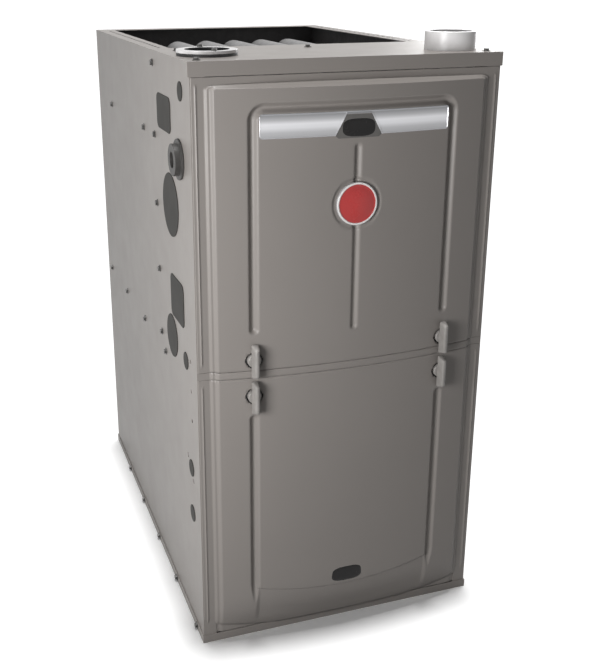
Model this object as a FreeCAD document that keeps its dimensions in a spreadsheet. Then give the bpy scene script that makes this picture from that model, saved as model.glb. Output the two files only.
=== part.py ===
import FreeCAD, Part
import Sketcher
import math
import os
import re
from FreeCAD import Placement, Rotation, Vector

# Upflow condensing gas furnace, millimetres, +Z up, front towards -Y.
# The origin is the centre of the casing's footprint, on the floor.

doc = FreeCAD.newDocument("furnace")

# Driving dimensions: alias, value and what it measures.
SIZES = (
    ("casing_width", 444.5, "casing width, the 17 1/2 in cabinet class"),
    ("casing_depth", 708, "casing depth without the doors"),
    ("casing_height", 864, "casing height, 34 in"),
    ("gauge", 1.2, "sheet thickness of the cabinet and its partitions"),
    ("fit_gap", 0.3, "clearance between pieces that sit in one another"),
    ("shaft_play", 0.05, "radial clearance of a turning shaft"),
    ("base_height", 13, "height of the base pan's rim"),
    ("front_return", 20, "width of the side panels' front flanges"),
    ("top_return", 30, "width of the supply opening's flanges"),
    ("back_flange", 20, "width of the back panel's side flanges"),
    ("ledge_depth", 216, "depth of the top plate"),
    ("ledge_overlap", 9, "how far the top plate lies over the side panels' top flanges"),
    ("lip_height", 19, "height of the top plate's front lip"),
    ("lip_return", 24, "length of the lip's side returns"),
    ("top_overhang", 2.5, "top plate overhang at each side"),
    ("vestibule_depth", 205, "casing front to the vestibule panel"),
    ("vestibule_flange", 18, "width of the vestibule panel's side flanges"),
    ("vestibule_top_flange", 48, "width of the vestibule panel's top flange"),
    ("deck_height", 412, "top of the blower deck"),
    ("deck_flange", 18, "height of the deck's side flanges"),
    ("deck_setback", 24, "casing front to the deck's front edge"),
    ("rail_drop", 36, "blower deck's top to the door rail's underside"),
    ("rail_height", 112, "height of the door rail"),
    ("rail_depth", 18, "depth of the door rail's flanges"),
    ("liner_thickness", 12, "thickness of the wall insulation"),
    ("door_inset", 1, "casing side to the door's edge"),
    ("door_gap", 0.7, "gap above the base rim and under the lip"),
    ("door_gauge", 1.0, "sheet thickness of the doors"),
    ("bow_radius", 1150, "radius of the bowed door face"),
    ("bow_rise", 25, "how far the door face stands out at its middle"),
    ("pillow_inset", 16.4, "casing side to the foot of the raised door face"),
    ("pillow_top_inset", 9.5, "door top edge to the foot of the raised face"),
    ("edge_slope", 1.2, "run over rise of the raised face's side and foot edges"),
    ("top_slope", 0.3, "run over rise of the raised face's top edge"),
    ("seam_gap", 0.5, "gap between a door and the trim strip"),
    ("trim_rise", 21.5, "blower deck's top to the trim strip"),
    ("trim_height", 10.5, "height of the trim strip"),
    ("groove_inset", 77.75, "casing side to a side groove"),
    ("groove_radius", 7, "section radius of the pressed grooves"),
    ("groove_depth", 3.5, "depth of the pressed grooves"),
    ("groove_top_drop", 58, "casing top to the upper door's top groove"),
    ("groove_rise", 60.5, "trim strip's underside to the upper door's groove ends"),
    ("groove_drop", 63.5, "trim strip's underside to the lower door's grooves"),
    ("groove_lower_end", 64, "lower end of the lower door's side grooves"),
    ("middle_groove_drop", 112, "casing top to the upright middle groove"),
    ("foot_slope", 2.2, "run of the lower door's curved foot for each unit of its rise"),
    ("smile_radius", 864, "radius of the lower door's curved foot"),
    ("smile_drop", 10, "how far the curved foot runs past the door's edge"),
    ("skirt_radius", 605, "radius of the lower door's curved crease"),
    ("skirt_bottom", 72, "lowest point of the curved crease"),
    ("skirt_step", 1.5, "depth of the step at the crease"),
    ("badge_drop", 191, "casing top to the round plate's centre"),
    ("badge_radius", 30, "radius of the round plate"),
    ("badge_thickness", 3, "thickness of the round plate's rim"),
    ("badge_dome", 2, "rise of the round plate's dome"),
    ("badge_recess", 33.5, "radius of the round plate's recess"),
    ("badge_recess_depth", 2, "depth of the round plate's recess"),
    ("strip_inset", 8.5, "side groove's middle to the strip plate's end"),
    ("strip_drop", 100, "casing top to the strip plate's lower edge"),
    ("strip_height", 31, "height of the strip plate"),
    ("strip_thickness", 1.2, "thickness of the strip plate"),
    ("notch_half_bottom", 34, "half width of the strip's notch at its mouth"),
    ("notch_half_top", 27, "half width of the strip's notch at its top"),
    ("notch_height", 27, "height of the strip's notch"),
    ("window_half_width", 25, "half width of a sight window"),
    ("window_half_height", 12.5, "half height of a sight window"),
    ("window_lip", 2, "width of the window's inner lip"),
    ("window_lip_depth", 2, "thickness of the window's inner lip"),
    ("window_proud", 0.8, "how far a window stands out of the door"),
    ("upper_window_drop", 88, "casing top to the upper window's centre"),
    ("lower_window_height", 91, "height of the lower window's centre"),
    ("upper_latch_rise", 26.5, "trim strip's underside to the upper door's latches"),
    ("lower_latch_drop", 27.5, "trim strip's underside to the lower door's latches"),
    ("cup_radius", 12.2, "outer radius of a latch cup"),
    ("cup_wall", 1.2, "wall of a latch cup"),
    ("cup_ridge", 1.6, "width of a latch cup's ridge behind the door skin"),
    ("cup_setback", 2, "door face to a latch cup's rim"),
    ("cup_depth", 8, "depth of a latch cup"),
    ("knob_radius", 9.6, "radius of a latch knob's base disc"),
    ("knob_proud", 3.4, "how far the base disc stands out of the door face"),
    ("wing_length", 51, "length of a latch wing"),
    ("wing_width", 8, "width of a latch wing"),
    ("wing_height", 14, "height of a latch wing"),
    ("latch_shaft", 4, "radius of a latch shaft"),
    ("cam_length", 30, "length of a latch cam"),
    ("cam_width", 10, "width of a latch cam"),
    ("cam_thickness", 3, "thickness of a latch cam"),
    ("cam_clearance", 2, "room round a cam in the rail's slot and behind it"),
    ("shaft_end", 1.5, "latch shaft past its cam"),
    ("vent_inset_side", 47, "casing right side to the vent's centre"),
    ("vent_inset_front", 60, "casing front to the vent's centre"),
    ("vent_bore", 30.25, "bore radius for a 2 in plastic pipe"),
    ("vent_wall", 6, "wall of the vent coupling"),
    ("vent_height", 26, "vent coupling above the top plate"),
    ("vent_reach", 50, "vent coupling below the top plate"),
    ("vent_flange", 5, "width of the coupling's flange under the top plate"),
    ("vent_flange_height", 3, "thickness of the coupling's flange"),
    ("vent_stop", 2.5, "width of the pipe stop inside the coupling"),
    ("vent_stop_height", 4, "height of the pipe stop"),
    ("vent_pipe_wall", 4, "wall of the vent pipe"),
    ("vent_bend", 55, "bend radius of the vent pipe"),
    ("vent_first_rise", 44.5, "vent pipe's rise from the inducer's outlet to its first turn"),
    ("vent_last_rise", 44.5, "vent pipe's rise from its last turn to the coupling"),
    ("intake_inset_side", 47, "casing left side to the air collar's centre"),
    ("intake_inset_front", 85, "casing front to the air collar's centre"),
    ("intake_bore", 30.25, "bore radius of the air collar"),
    ("intake_flange", 41.5, "radius of the air collar's flange"),
    ("intake_flange_height", 4, "thickness of the air collar's flange"),
    ("intake_wall", 2.5, "wall of the air collar's spigot"),
    ("intake_reach", 28, "length of the air collar's spigot"),
    ("gasket_thickness", 4, "thickness of the air collar's gasket"),
    ("collar_screw_circle", 36, "radius to the air collar's screws"),
    ("collar_screw_reach", 11, "length of the air collar's screws"),
    ("grommet_inset", 65, "casing front to the gas grommet's centre"),
    ("grommet_drop", 133, "casing top to the gas grommet"),
    ("grommet_bore", 11, "bore radius for a 1/2 in gas pipe"),
    ("grommet_hole", 20, "radius of the grommet's hole in the side panel"),
    ("grommet_flange", 28, "radius of the grommet's outer flange"),
    ("grommet_flange_height", 3, "thickness of the grommet's flanges"),
    ("grommet_hub", 22, "radius of the grommet's hub"),
    ("grommet_hub_height", 11, "height of the grommet's hub"),
    ("plug_lip", 2, "width of a knockout plug's rim"),
    ("plug_rim", 1.0, "thickness of a knockout plug's rim"),
    ("screw_shank", 2, "radius of a cabinet screw's shank"),
    ("screw_reach", 5, "length of a cabinet screw's shank"),
    ("screw_head", 4, "circumradius of a cabinet screw's hex head"),
    ("screw_head_height", 2.8, "height of a cabinet screw's hex head"),
    ("screw_washer", 5.5, "radius of a cabinet screw's washer face"),
    ("screw_washer_height", 0.8, "thickness of a cabinet screw's washer face"),
    ("deck_screw_first", 193, "casing front to the deck's first side screw"),
    ("deck_screw_pitch", 157.5, "spacing of the deck's side screws"),
    ("deck_screw_drop", 7.5, "deck's top to its side screws"),
    ("column_screw_rise", 18, "deck's top to the vestibule panel's first screw"),
    ("column_screw_pitch", 104, "spacing of the vestibule panel's screws"),
    ("tube_screw_drop", 123, "casing top to the side screws beside the tubes"),
    ("tube_screw_first", 294, "casing front to the first screw beside the tubes"),
    ("tube_screw_pitch", 279, "spacing of the screws beside the tubes"),
    ("base_screw_first", 36, "casing front to the base pan's first side screw"),
    ("base_screw_pitch", 132, "spacing of the base pan's side screws"),
    ("deck_screw_count", 4, "number of the deck's screws at each side"),
    ("column_screw_count", 5, "number of the vestibule panel's screws at each side"),
    ("tube_screw_count", 2, "number of screws beside the tubes at each side"),
    ("base_screw_count", 5, "number of the base pan's screws at each side"),
    ("ledge_screw_side", 25, "casing side to the top plate's rear screws"),
    ("ledge_screw_inset", 166, "casing front to the top plate's rear screws"),
    ("corner_screw_side", 14, "casing side to the top plate's corner screws"),
    ("corner_screw_inset", 16, "casing front to the top plate's corner screws"),
    ("service_hole", 4, "radius of the open service holes"),
    ("upper_hole_inset", 66, "casing front to the upper service hole"),
    ("upper_hole_height", 287, "height of the upper service hole"),
    ("lower_hole_inset", 37, "casing front to the lower service hole"),
    ("lower_hole_height", 257, "height of the lower service hole"),
    ("dimple_hole", 3, "radius of the pilot holes behind the door's edge"),
    ("dimple_inset", 36, "casing front to the pilot holes"),
    ("dimple_first", 356, "height of the lowest pilot hole"),
    ("dimple_pitch", 46, "spacing of the pilot holes"),
    ("dimple_count", 3, "number of pilot holes in each side panel"),
    ("flange_slot_length", 12, "length of a slot in the supply flanges"),
    ("flange_slot_width", 3.5, "width of a slot in the supply flanges"),
    ("flange_slot_pitch", 20, "spacing of the slots in the supply flanges"),
    ("flange_slot_inset", 15, "casing side to the slots in the supply flanges"),
    ("flange_slot_first", 24, "top plate's rear edge to the first slot"),
    ("flange_slot_count", 21, "number of slots in each supply flange"),
    ("slot_knockout_width", 78, "width of the upper flat knockout"),
    ("slot_knockout_height", 46, "height of the upper flat knockout"),
    ("square_knockout_width", 73, "width of the lower flat knockout"),
    ("square_knockout_height", 61, "height of the lower flat knockout"),
    ("knockout_corner", 9, "corner radius of the flat knockouts"),
    ("large_knockout", 44, "radius of the large round knockout"),
    ("middle_knockout", 31, "radius of the middle round knockout"),
    ("small_knockout", 11, "radius of the small round knockouts"),
    ("corner_port_inset", 51, "casing front to the top corner knockout"),
    ("corner_port_drop", 41, "casing top to the top corner knockout"),
    ("large_port_inset", 125, "casing front to the large round knockout"),
    ("large_port_drop", 209, "casing top to the large round knockout"),
    ("middle_port_inset", 142, "casing front to the middle round knockout"),
    ("middle_port_rise", 38, "blower deck to the middle round knockout"),
    ("rail_port_inset", 61, "casing front to the knockout beside the rail"),
    ("rail_port_rise", 28, "blower deck to the knockout beside the rail"),
    ("drain_port_inset", 46, "casing front to the two drain knockouts"),
    ("drain_port_height", 199, "height of the lower drain knockout"),
    ("drain_port_pitch", 76, "spacing of the drain knockouts"),
    ("slot_port_inset", 151, "casing front to the upper flat knockout"),
    ("slot_port_drop", 82, "casing top to the upper flat knockout's centre"),
    ("square_port_inset", 102.5, "casing front to the lower flat knockout"),
    ("square_port_rise", 106.5, "blower deck to the lower flat knockout's centre"),
    ("tube_count", 6, "number of heat-exchanger tubes"),
    ("tube_pitch", 55, "spacing of the heat-exchanger tubes"),
    ("tube_radius", 22, "outer radius of a heat-exchanger tube"),
    ("tube_wall", 1.5, "wall of a heat-exchanger tube"),
    ("burner_drop", 42, "casing top to the burners and the top tube run"),
    ("tube_run_pitch", 72, "height between two tube runs"),
    ("tube_bend", 34, "bend radius of the tubes"),
    ("tube_front", 290, "casing front to the tubes' front bends"),
    ("tube_back", 630, "casing front to the tubes' rear bends"),
    ("header_front", 650, "casing front to the rear header"),
    ("header_depth", 40, "depth of the rear header"),
    ("header_margin", 30.5, "outer tube's middle to the rear header's side"),
    ("header_rise", 37, "lowest tube run to the rear header's top"),
    ("coil_margin", 28.5, "outer tube's middle to the secondary coil's side"),
    ("coil_rise", 58, "blower deck to the secondary coil"),
    ("coil_height", 100, "height of the secondary coil"),
    ("coil_end", 12, "depth of the coil's end plates"),
    ("coil_fin", 2.5, "thickness of the coil's fins"),
    ("coil_fin_pitch", 11, "spacing of the coil's fins"),
    ("coil_opening_inset", 10, "vestibule opening's inset from the coil's outline"),
    ("collector_side", 27.5, "outer tube's middle to the collector box's side"),
    ("collector_depth", 40, "depth of the collector box"),
    ("collector_margin", 8, "collector box past the coil, above and below"),
    ("collector_wall", 3, "wall of the collector box"),
    ("drain_inset", 92.25, "casing left side to the drain spigot"),
    ("drain_spigot", 11, "radius of the drain spigot"),
    ("drain_spigot_height", 20, "length of the drain spigot"),
    ("hose_radius", 9, "radius of the drain hose"),
    ("hose_bore", 7, "bore radius of the drain hose"),
    ("hose_bend", 22, "bend radius of the drain hose"),
    ("hose_drop", 62, "how far the hose falls below the drain spigot before it turns"),
    ("hose_fall", 14, "fall of the hose along its slanting run"),
    ("inducer_x", 25, "inducer's centre across the furnace"),
    ("inducer_rise", 50, "secondary coil's underside to the inducer's axis"),
    ("inducer_radius", 76, "radius of the inducer housing"),
    ("inducer_depth", 45, "depth of the inducer housing"),
    ("inducer_wall", 3, "wall of the inducer housing"),
    ("inducer_inlet", 26, "radius of the inducer's inlet"),
    ("inducer_wheel_radius", 60, "radius of the inducer wheel"),
    ("inducer_wheel_depth", 26, "depth of the inducer wheel"),
    ("inducer_blades", 12, "number of blades on the inducer wheel"),
    ("inducer_blade", 2, "thickness of an inducer blade"),
    ("inducer_hub", 10, "radius of the inducer wheel's hub"),
    ("inducer_shaft", 4, "radius of the inducer shaft"),
    ("inducer_shaft_reach", 24, "inducer shaft inside the motor"),
    ("inducer_shaft_hole", 6, "radius of the shaft hole in the inducer housing"),
    ("outlet_rise", 116, "inducer's axis to the top of its outlet spigot"),
    ("outlet_box_height", 78, "height of the inducer's outlet chute above its centre"),
    ("inducer_motor_radius", 42, "radius of the inducer motor"),
    ("inducer_motor_length", 66, "length of the inducer motor"),
    ("inducer_foot_radius", 56, "radius of the inducer motor's mounting plate"),
    ("inducer_foot", 4, "thickness of the inducer motor's mounting plate"),
    ("box_margin", 34.5, "outer tube's middle to the burner box's side"),
    ("box_front", 125, "casing front to the burner box"),
    ("box_below", 38, "burner box below the burners' axis"),
    ("box_above", 34, "burner box above the burners' axis"),
    ("burner_radius", 14, "outer radius of a burner"),
    ("burner_wall", 2, "wall of a burner"),
    ("burner_flange", 18, "radius of a burner's rear flange"),
    ("burner_flange_depth", 3, "thickness of a burner's rear flange"),
    ("spud_radius", 6, "radius of a gas orifice spud"),
    ("spud_bore", 1.5, "bore radius of a gas orifice"),
    ("manifold_radius", 10, "radius of the gas manifold"),
    ("manifold_inset", 110, "casing front to the manifold"),
    ("manifold_overrun", 14, "manifold past its last orifice"),
    ("valve_length", 70, "length of the gas valve"),
    ("valve_inset", 37, "casing side to the gas valve"),
    ("valve_depth", 60, "depth of the gas valve"),
    ("valve_height", 64, "height of the gas valve"),
    ("valve_port", 13, "radius of the gas valve's ports"),
    ("valve_port_length", 18, "length of the gas valve's ports"),
    ("valve_thread", 9.3, "bore radius of the gas valve's inlet"),
    ("riser_radius", 9, "radius of the manifold's riser"),
    ("riser_bend", 16, "bend radius of the manifold's riser"),
    ("riser_step", 34, "gas valve to the manifold's riser"),
    ("valve_knob_radius", 13, "radius of the gas valve's knob"),
    ("valve_knob_height", 14, "height of the gas valve's knob"),
    ("valve_knob_shaft", 3, "radius of the gas valve knob's shaft"),
    ("valve_knob_reach", 10, "gas valve knob's shaft inside the valve"),
    ("valve_knob_ridge", 4, "width and height of the knob's grip ridge"),
    ("valve_knob_rise", 16, "gas valve knob's height above the ports' axis"),
    ("igniter_radius", 5, "radius of the igniter's ceramic body"),
    ("sensor_radius", 2.5, "radius of the flame sensor's rod"),
    ("probe_front", 22, "igniter and sensor in front of the burner box"),
    ("probe_reach", 42, "igniter and sensor inside the burner box"),
    ("probe_flange", 10, "radius of the igniter's and sensor's flanges"),
    ("probe_flange_depth", 3, "thickness of the igniter's and sensor's flanges"),
    ("probe_drop", 18, "igniter and sensor below the burners' axis"),
    ("limit_radius", 9, "radius of a limit switch"),
    ("limit_height", 6, "height of a limit switch"),
    ("limit_spread", 110, "limit switches' spacing"),
    ("limit_setback", 20, "burner box's front to the limit switches"),
    ("pressure_radius", 35, "radius of the pressure switch"),
    ("pressure_depth", 28, "depth of the pressure switch"),
    ("pressure_inset", 102.25, "casing left side to the pressure switch"),
    ("pressure_drop", 219, "casing top to the pressure switch"),
    ("pressure_port", 4, "radius of the pressure switch's port"),
    ("pressure_port_length", 16, "length of the pressure switch's port"),
    ("blower_half", 115, "half width of the blower housing"),
    ("blower_y", 60, "blower axis behind the casing's middle"),
    ("blower_height", 205, "height of the blower axis"),
    ("scroll_start", 132, "radius of the scroll at its cutoff"),
    ("scroll_end", 186, "radius of the scroll at its outlet"),
    ("scroll_cutoff", 50, "angle of the cutoff above the axis, in degrees"),
    ("inlet_radius", 100, "radius of the blower's inlets"),
    ("blower_wheel_radius", 120, "radius of the blower wheel"),
    ("blower_wheel_half", 100, "half width of the blower wheel"),
    ("blade_count", 36, "number of blades on the blower wheel"),
    ("blade_depth", 20, "depth of a blower blade"),
    ("blade_thickness", 1, "thickness of a blower blade"),
    ("wheel_ring", 6, "width of the blower wheel's end rings"),
    ("wheel_plate", 2, "thickness of the blower wheel's plate"),
    ("wheel_hub", 18, "radius of the blower wheel's hub"),
    ("wheel_hub_length", 30, "length of the blower wheel's hub"),
    ("blower_shaft", 6.35, "radius of the blower shaft"),
    ("shaft_reach", 30, "blower shaft inside the motor"),
    ("motor_radius", 66, "radius of the blower motor"),
    ("motor_gap", 12, "blower wheel's plate to the motor"),
    ("motor_length", 118, "length of the blower motor"),
    ("band_thickness", 2.5, "thickness of the motor bracket's band"),
    ("band_width", 12, "width of the motor bracket's band"),
    ("arm_count", 3, "number of the motor bracket's arms"),
    ("arm_width", 22, "width of the motor bracket's arms"),
    ("arm_overlap", 14, "motor bracket's arms past the inlet"),
    ("panel_inset", 80, "casing front to the control panel"),
    ("panel_side", 22.25, "casing right side to the control panel"),
    ("panel_width", 220, "width of the control panel"),
    ("panel_height", 170, "height of the control panel"),
    ("panel_flange", 25, "width of the control panel's top flange"),
    ("board_width", 140, "width of the control board"),
    ("board_height", 105, "height of the control board"),
    ("board_thickness", 1.6, "thickness of the control board"),
    ("board_margin", 12, "control panel's edge to the board"),
    ("post_height", 7, "height of the board's posts"),
    ("post_radius", 3, "radius of the board's posts"),
    ("post_inset", 8, "board's edge to its posts"),
    ("relay_count", 3, "number of relays"),
    ("relay_size", 24, "side of a relay"),
    ("relay_height", 20, "height of a relay"),
    ("terminal_width", 90, "width of the terminal strip"),
    ("terminal_height", 12, "height and depth of the terminal strip"),
    ("fuse_width", 18, "width of the fuse"),
    ("fuse_height", 8, "height and depth of the fuse"),
    ("core_width", 50, "width of the transformer's core"),
    ("core_height", 56, "height of the transformer's core"),
    ("core_depth", 26, "depth of the transformer's core"),
    ("winding_size", 34, "width and height of the transformer's winding"),
    ("winding_depth", 10, "winding in front of the core"),
    ("junction_inset", 100, "casing front to the junction box"),
    ("junction_drop", 207, "blower deck's top to the junction box's underside"),
    ("junction_width", 55, "junction box across the furnace"),
    ("junction_depth", 85, "depth of the junction box"),
    ("junction_height", 80, "height of the junction box"),
    ("switch_x", 60, "door switch across the furnace"),
    ("switch_width", 20, "width of the door switch"),
    ("switch_depth", 26, "depth of the door switch"),
    ("switch_height", 30, "height of the door switch"),
    ("switch_inset", 5, "casing front to the door switch"),
    ("plunger_radius", 3, "radius of the door switch's plunger"),
    ("plunger_tip", 6, "plunger past the casing front with the door shut"),
    ("plunger_reach", 12, "plunger inside the switch"),
    ("plunger_travel", 3, "room behind the plunger"),
    ("striker_width", 16, "width and height of the door's striker"),
    ("trap_inset", 25, "casing front to the condensate trap"),
    ("trap_drop", 222, "blower deck's top to the condensate trap's underside"),
    ("trap_width", 45, "condensate trap across the furnace"),
    ("trap_depth", 60, "depth of the condensate trap"),
    ("trap_height", 130, "height of the condensate trap"),
    ("trap_spigot_height", 16, "height of the trap's inlet spigot"),
)

sheet = doc.addObject("Spreadsheet::Sheet", "size")
for row, (alias, value, meaning) in enumerate(SIZES, 1):
    sheet.set("A%d" % row, alias)
    sheet.set("B%d" % row, str(value))
    sheet.set("C%d" % row, meaning)
    sheet.setAlias("B%d" % row, alias)
doc.recompute()

ALIASES = re.compile(r"\b(%s)\b" % "|".join(alias for alias, value, meaning in SIZES))

# Heights and half widths that follow from the sizes, by the names that the pieces use.
FOLLOWING = {
    "tube_span": "(tube_count - 1) / 2 * tube_pitch",
    "groove_top": "casing_height - groove_top_drop",
    "middle_groove_top": "casing_height - middle_groove_drop",
    "badge_height": "casing_height - badge_drop",
    "strip_bottom": "casing_height - strip_drop",
    "upper_window_height": "casing_height - upper_window_drop",
    "grommet_height": "casing_height - grommet_drop",
    "burner_height": "casing_height - burner_drop",
    "corner_port_height": "casing_height - corner_port_drop",
    "slot_port_height": "casing_height - slot_port_drop",
    "large_port_height": "casing_height - large_port_drop",
    "tube_screw_height": "casing_height - tube_screw_drop",
    "pressure_height": "casing_height - pressure_drop",
    "header_top": "burner_height - 2 * tube_run_pitch + header_rise",
    "coil_bottom": "deck_height + coil_rise",
    "inducer_height": "coil_bottom + inducer_rise",
    "outlet_top": "inducer_height + outlet_rise",
    "square_port_height": "deck_height + square_port_rise",
    "middle_port_height": "deck_height + middle_port_rise",
    "rail_port_height": "deck_height + rail_port_rise",
    "rail_bottom": "deck_height - rail_drop",
    "trim_bottom": "deck_height + trim_rise",
    "upper_latch_height": "trim_bottom + upper_latch_rise",
    "lower_latch_height": "trim_bottom - lower_latch_drop",
    "groove_upper_end": "trim_bottom + groove_rise",
    "groove_lower_start": "trim_bottom - groove_drop",
    "trap_bottom": "deck_height - trap_drop",
    "junction_bottom": "deck_height - junction_drop",
    "groove_x": "casing_width / 2 - groove_inset",
    "strip_half": "groove_x - strip_inset",
    "header_half": "tube_span + header_margin",
    "coil_half": "tube_span + coil_margin",
    "collector_half": "tube_span + collector_side",
    "box_half": "tube_span + box_margin",
    "panel_left": "casing_width / 2 - panel_side - panel_width",
    "drain_x": "drain_inset - casing_width / 2",
    "pressure_x": "pressure_inset - casing_width / 2",
}
FOLLOWERS = re.compile(r"\b(%s)\b" % "|".join(FOLLOWING))

# Planes and places that many pieces share, written as expressions.
HALF = "(casing_width / 2)"
FRONT = "(-casing_depth / 2)"
BACK = "(casing_depth / 2)"
VESTIBULE = "(-casing_depth / 2 + vestibule_depth)"
DECK_UNDER = "(deck_height - gauge)"
INNER = "(casing_width / 2 - gauge - fit_gap)"
BOW_Y = "(-casing_depth / 2 - bow_rise + bow_radius)"
FACE_DEPTH = "(2 * bow_rise)"
UPPER_BOTTOM = "(trim_bottom + trim_height + seam_gap)"
UPPER_TOP = "(casing_height + gauge - lip_height - door_gap)"
LOWER_BOTTOM = "(base_height + door_gap)"
LOWER_TOP = "(trim_bottom - seam_gap)"
VENT_X = "(casing_width / 2 - vent_inset_side)"
VENT_Y = "(-casing_depth / 2 + vent_inset_front)"
INTAKE_X = "(-casing_width / 2 + intake_inset_side)"
INTAKE_Y = "(-casing_depth / 2 + intake_inset_front)"

ALONG = {
    "X": Rotation(Vector(0, 1, 0), 90),
    "-X": Rotation(Vector(0, 1, 0), -90),
    "Y": Rotation(Vector(1, 0, 0), -90),
    "-Y": Rotation(Vector(1, 0, 0), 90),
    "Z": Rotation(),
    "-Z": Rotation(Vector(1, 0, 0), 180),
}
nodes = []


def bound(text):
    """An expression with its names tied to the sheet."""
    text = str(text)
    while FOLLOWERS.search(text):
        text = FOLLOWERS.sub(lambda name: "(" + FOLLOWING[name.group(1)] + ")", text)
    return ALIASES.sub(r"size.\1", text)


def number(text):
    """The present value of an expression."""
    return float(sheet.evalExpression(bound(text)))


def count(text):
    """The present value of an expression, as a whole number."""
    return int(number(text))


def spot(x, y, z):
    """The present place of three expressions."""
    return Vector(number(x), number(y), number(z))


def bind(obj, **sizes):
    for name, text in sizes.items():
        obj.setExpression(name, bound(text))
    return obj


def place(obj, at, along="Z"):
    obj.Placement = Placement(Vector(), ALONG[along])
    for axis, text in zip("xyz", at):
        obj.setExpression("Placement.Base." + axis, bound(text))
    return obj


def node(label, obj):
    obj.Label = label
    nodes.append(obj)
    return obj


def box(name, low, size):
    obj = doc.addObject("Part::Box", name)
    bind(obj, Length=size[0], Width=size[1], Height=size[2])
    return place(obj, low)


def rod(name, radius, length, at, along="Z"):
    obj = bind(doc.addObject("Part::Cylinder", name), Radius=radius, Height=length)
    return place(obj, at, along)


def ball(name, radius, at):
    return place(bind(doc.addObject("Part::Sphere", name), Radius=radius), at)


def join(name, *shapes):
    obj = doc.addObject("Part::MultiFuse", name)
    obj.Shapes = list(shapes)
    obj.Refine = True
    return obj


def group(name, *shapes):
    obj = doc.addObject("Part::Compound", name)
    obj.Links = list(shapes)
    return obj


def common(name, first, second):
    obj = doc.addObject("Part::MultiCommon", name)
    obj.Shapes = [first, second]
    return obj


def cut(name, base, *tools):
    for count, tool in enumerate(tools, 1):
        obj = doc.addObject("Part::Cut", name if count == len(tools) else name + "_step")
        obj.Base = base
        obj.Tool = tool
        base = obj
    return base


def ring(name, outer, inner, length, at, along="Z"):
    return cut(name, rod(name + "_outside", outer, length, at, along),
               rod(name + "_bore", inner, length, at, along))


def made(name, shape):
    """A feature for a shape that no primitive or body fits."""
    obj = doc.addObject("Part::Feature", name)
    obj.Shape = shape
    return obj


def oval(name, half_width, half_height, length, at):
    """An upright oval block along +Y."""
    rim = bind(doc.addObject("Part::Ellipse", name + "_rim"), MajorRadius=half_width,
               MinorRadius=half_height)
    place(rim, at, "Y")
    obj = doc.addObject("Part::Extrusion", name)
    obj.Base = rim
    obj.DirMode = "Custom"
    obj.Dir = Vector(0, 1, 0)
    obj.Solid = True
    return bind(obj, LengthFwd=length)


def origin_plane(body, role):
    return next(item for item in body.Origin.OriginFeatures if item.Role == role)


def outline(body, name, role, corners):
    """A closed sketch whose corners are tied to expressions."""
    sketch = body.newObject("Sketcher::SketchObject", name)
    sketch.AttachmentSupport = [(origin_plane(body, role), "")]
    sketch.MapMode = "FlatFace"
    points = [Vector(number(across), number(up), 0) for across, up in corners]
    for index, point in enumerate(points):
        sketch.addGeometry(Part.LineSegment(point, points[(index + 1) % len(points)]), False)
    for index, (across, up) in enumerate(corners):
        follower = (index + 1) % len(corners)
        sketch.addConstraint(Sketcher.Constraint("Coincident", index, 2, follower, 1))
    for index, (across, up) in enumerate(corners):
        for kind, text in (("DistanceX", across), ("DistanceY", up)):
            rule = sketch.addConstraint(Sketcher.Constraint(kind, -1, 1, index, 1, number(text)))
            sketch.setExpression("Constraints[%d]" % rule, bound(text))
    return sketch


def turned(name, profile, at, along="Z"):
    """A body turned about its own axis; the profile is (radius, height) corners."""
    body = doc.addObject("PartDesign::Body", name)
    sketch = outline(body, name + "_profile", "XZ_Plane", profile)
    turn = body.newObject("PartDesign::Revolution", name + "_turn")
    turn.Profile = sketch
    turn.ReferenceAxis = (sketch, ["V_Axis"])
    turn.Angle = 360
    body.Tip = turn
    return place(body, at, along)


def bent_path(corners, bend):
    """Straight runs joined by tangent arcs of one radius."""
    edges = []
    start = corners[0]
    for before, corner, after in zip(corners, corners[1:], corners[2:]):
        inward = (before - corner).normalize()
        outward = (after - corner).normalize()
        half_angle = inward.getAngle(outward) / 2
        first = corner + inward * (bend / math.tan(half_angle))
        last = corner + outward * (bend / math.tan(half_angle))
        middle = corner + (inward + outward).normalize() * (bend / math.sin(half_angle) - bend)
        edges.append(Part.LineSegment(start, first).toShape())
        edges.append(Part.Arc(first, middle, last).toShape())
        start = last
    edges.append(Part.LineSegment(start, corners[-1]).toShape())
    return Part.Wire(edges)


def pipe(corners, bend, radius):
    """A round bar along a bent path."""
    circle = Part.makeCircle(radius, corners[0], corners[1] - corners[0])
    return bent_path(corners, bend).makePipeShell([Part.Wire(circle)], True, False)


def side_low(sign, inset, width):
    """Low X of a block of some width, at an inset from a casing side's outer face."""
    return f"(-{HALF} + ({inset}))" if sign < 0 else f"({HALF} - ({inset}) - ({width}))"


def inset_y(inset):
    return f"({FRONT} + ({inset}))"


def eased(name, block, radius):
    """A block with its four edges along X rounded."""
    doc.recompute()
    obj = doc.addObject("Part::Fillet", name)
    obj.Base = block
    rounds = []
    for index, edge in enumerate(block.Shape.Edges, 1):
        if abs(edge.tangentAt(edge.FirstParameter).x) > 1 - Part.Precision.confusion():
            rounds.append((index, number(radius), number(radius)))
    obj.Edges = rounds
    return obj


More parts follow.
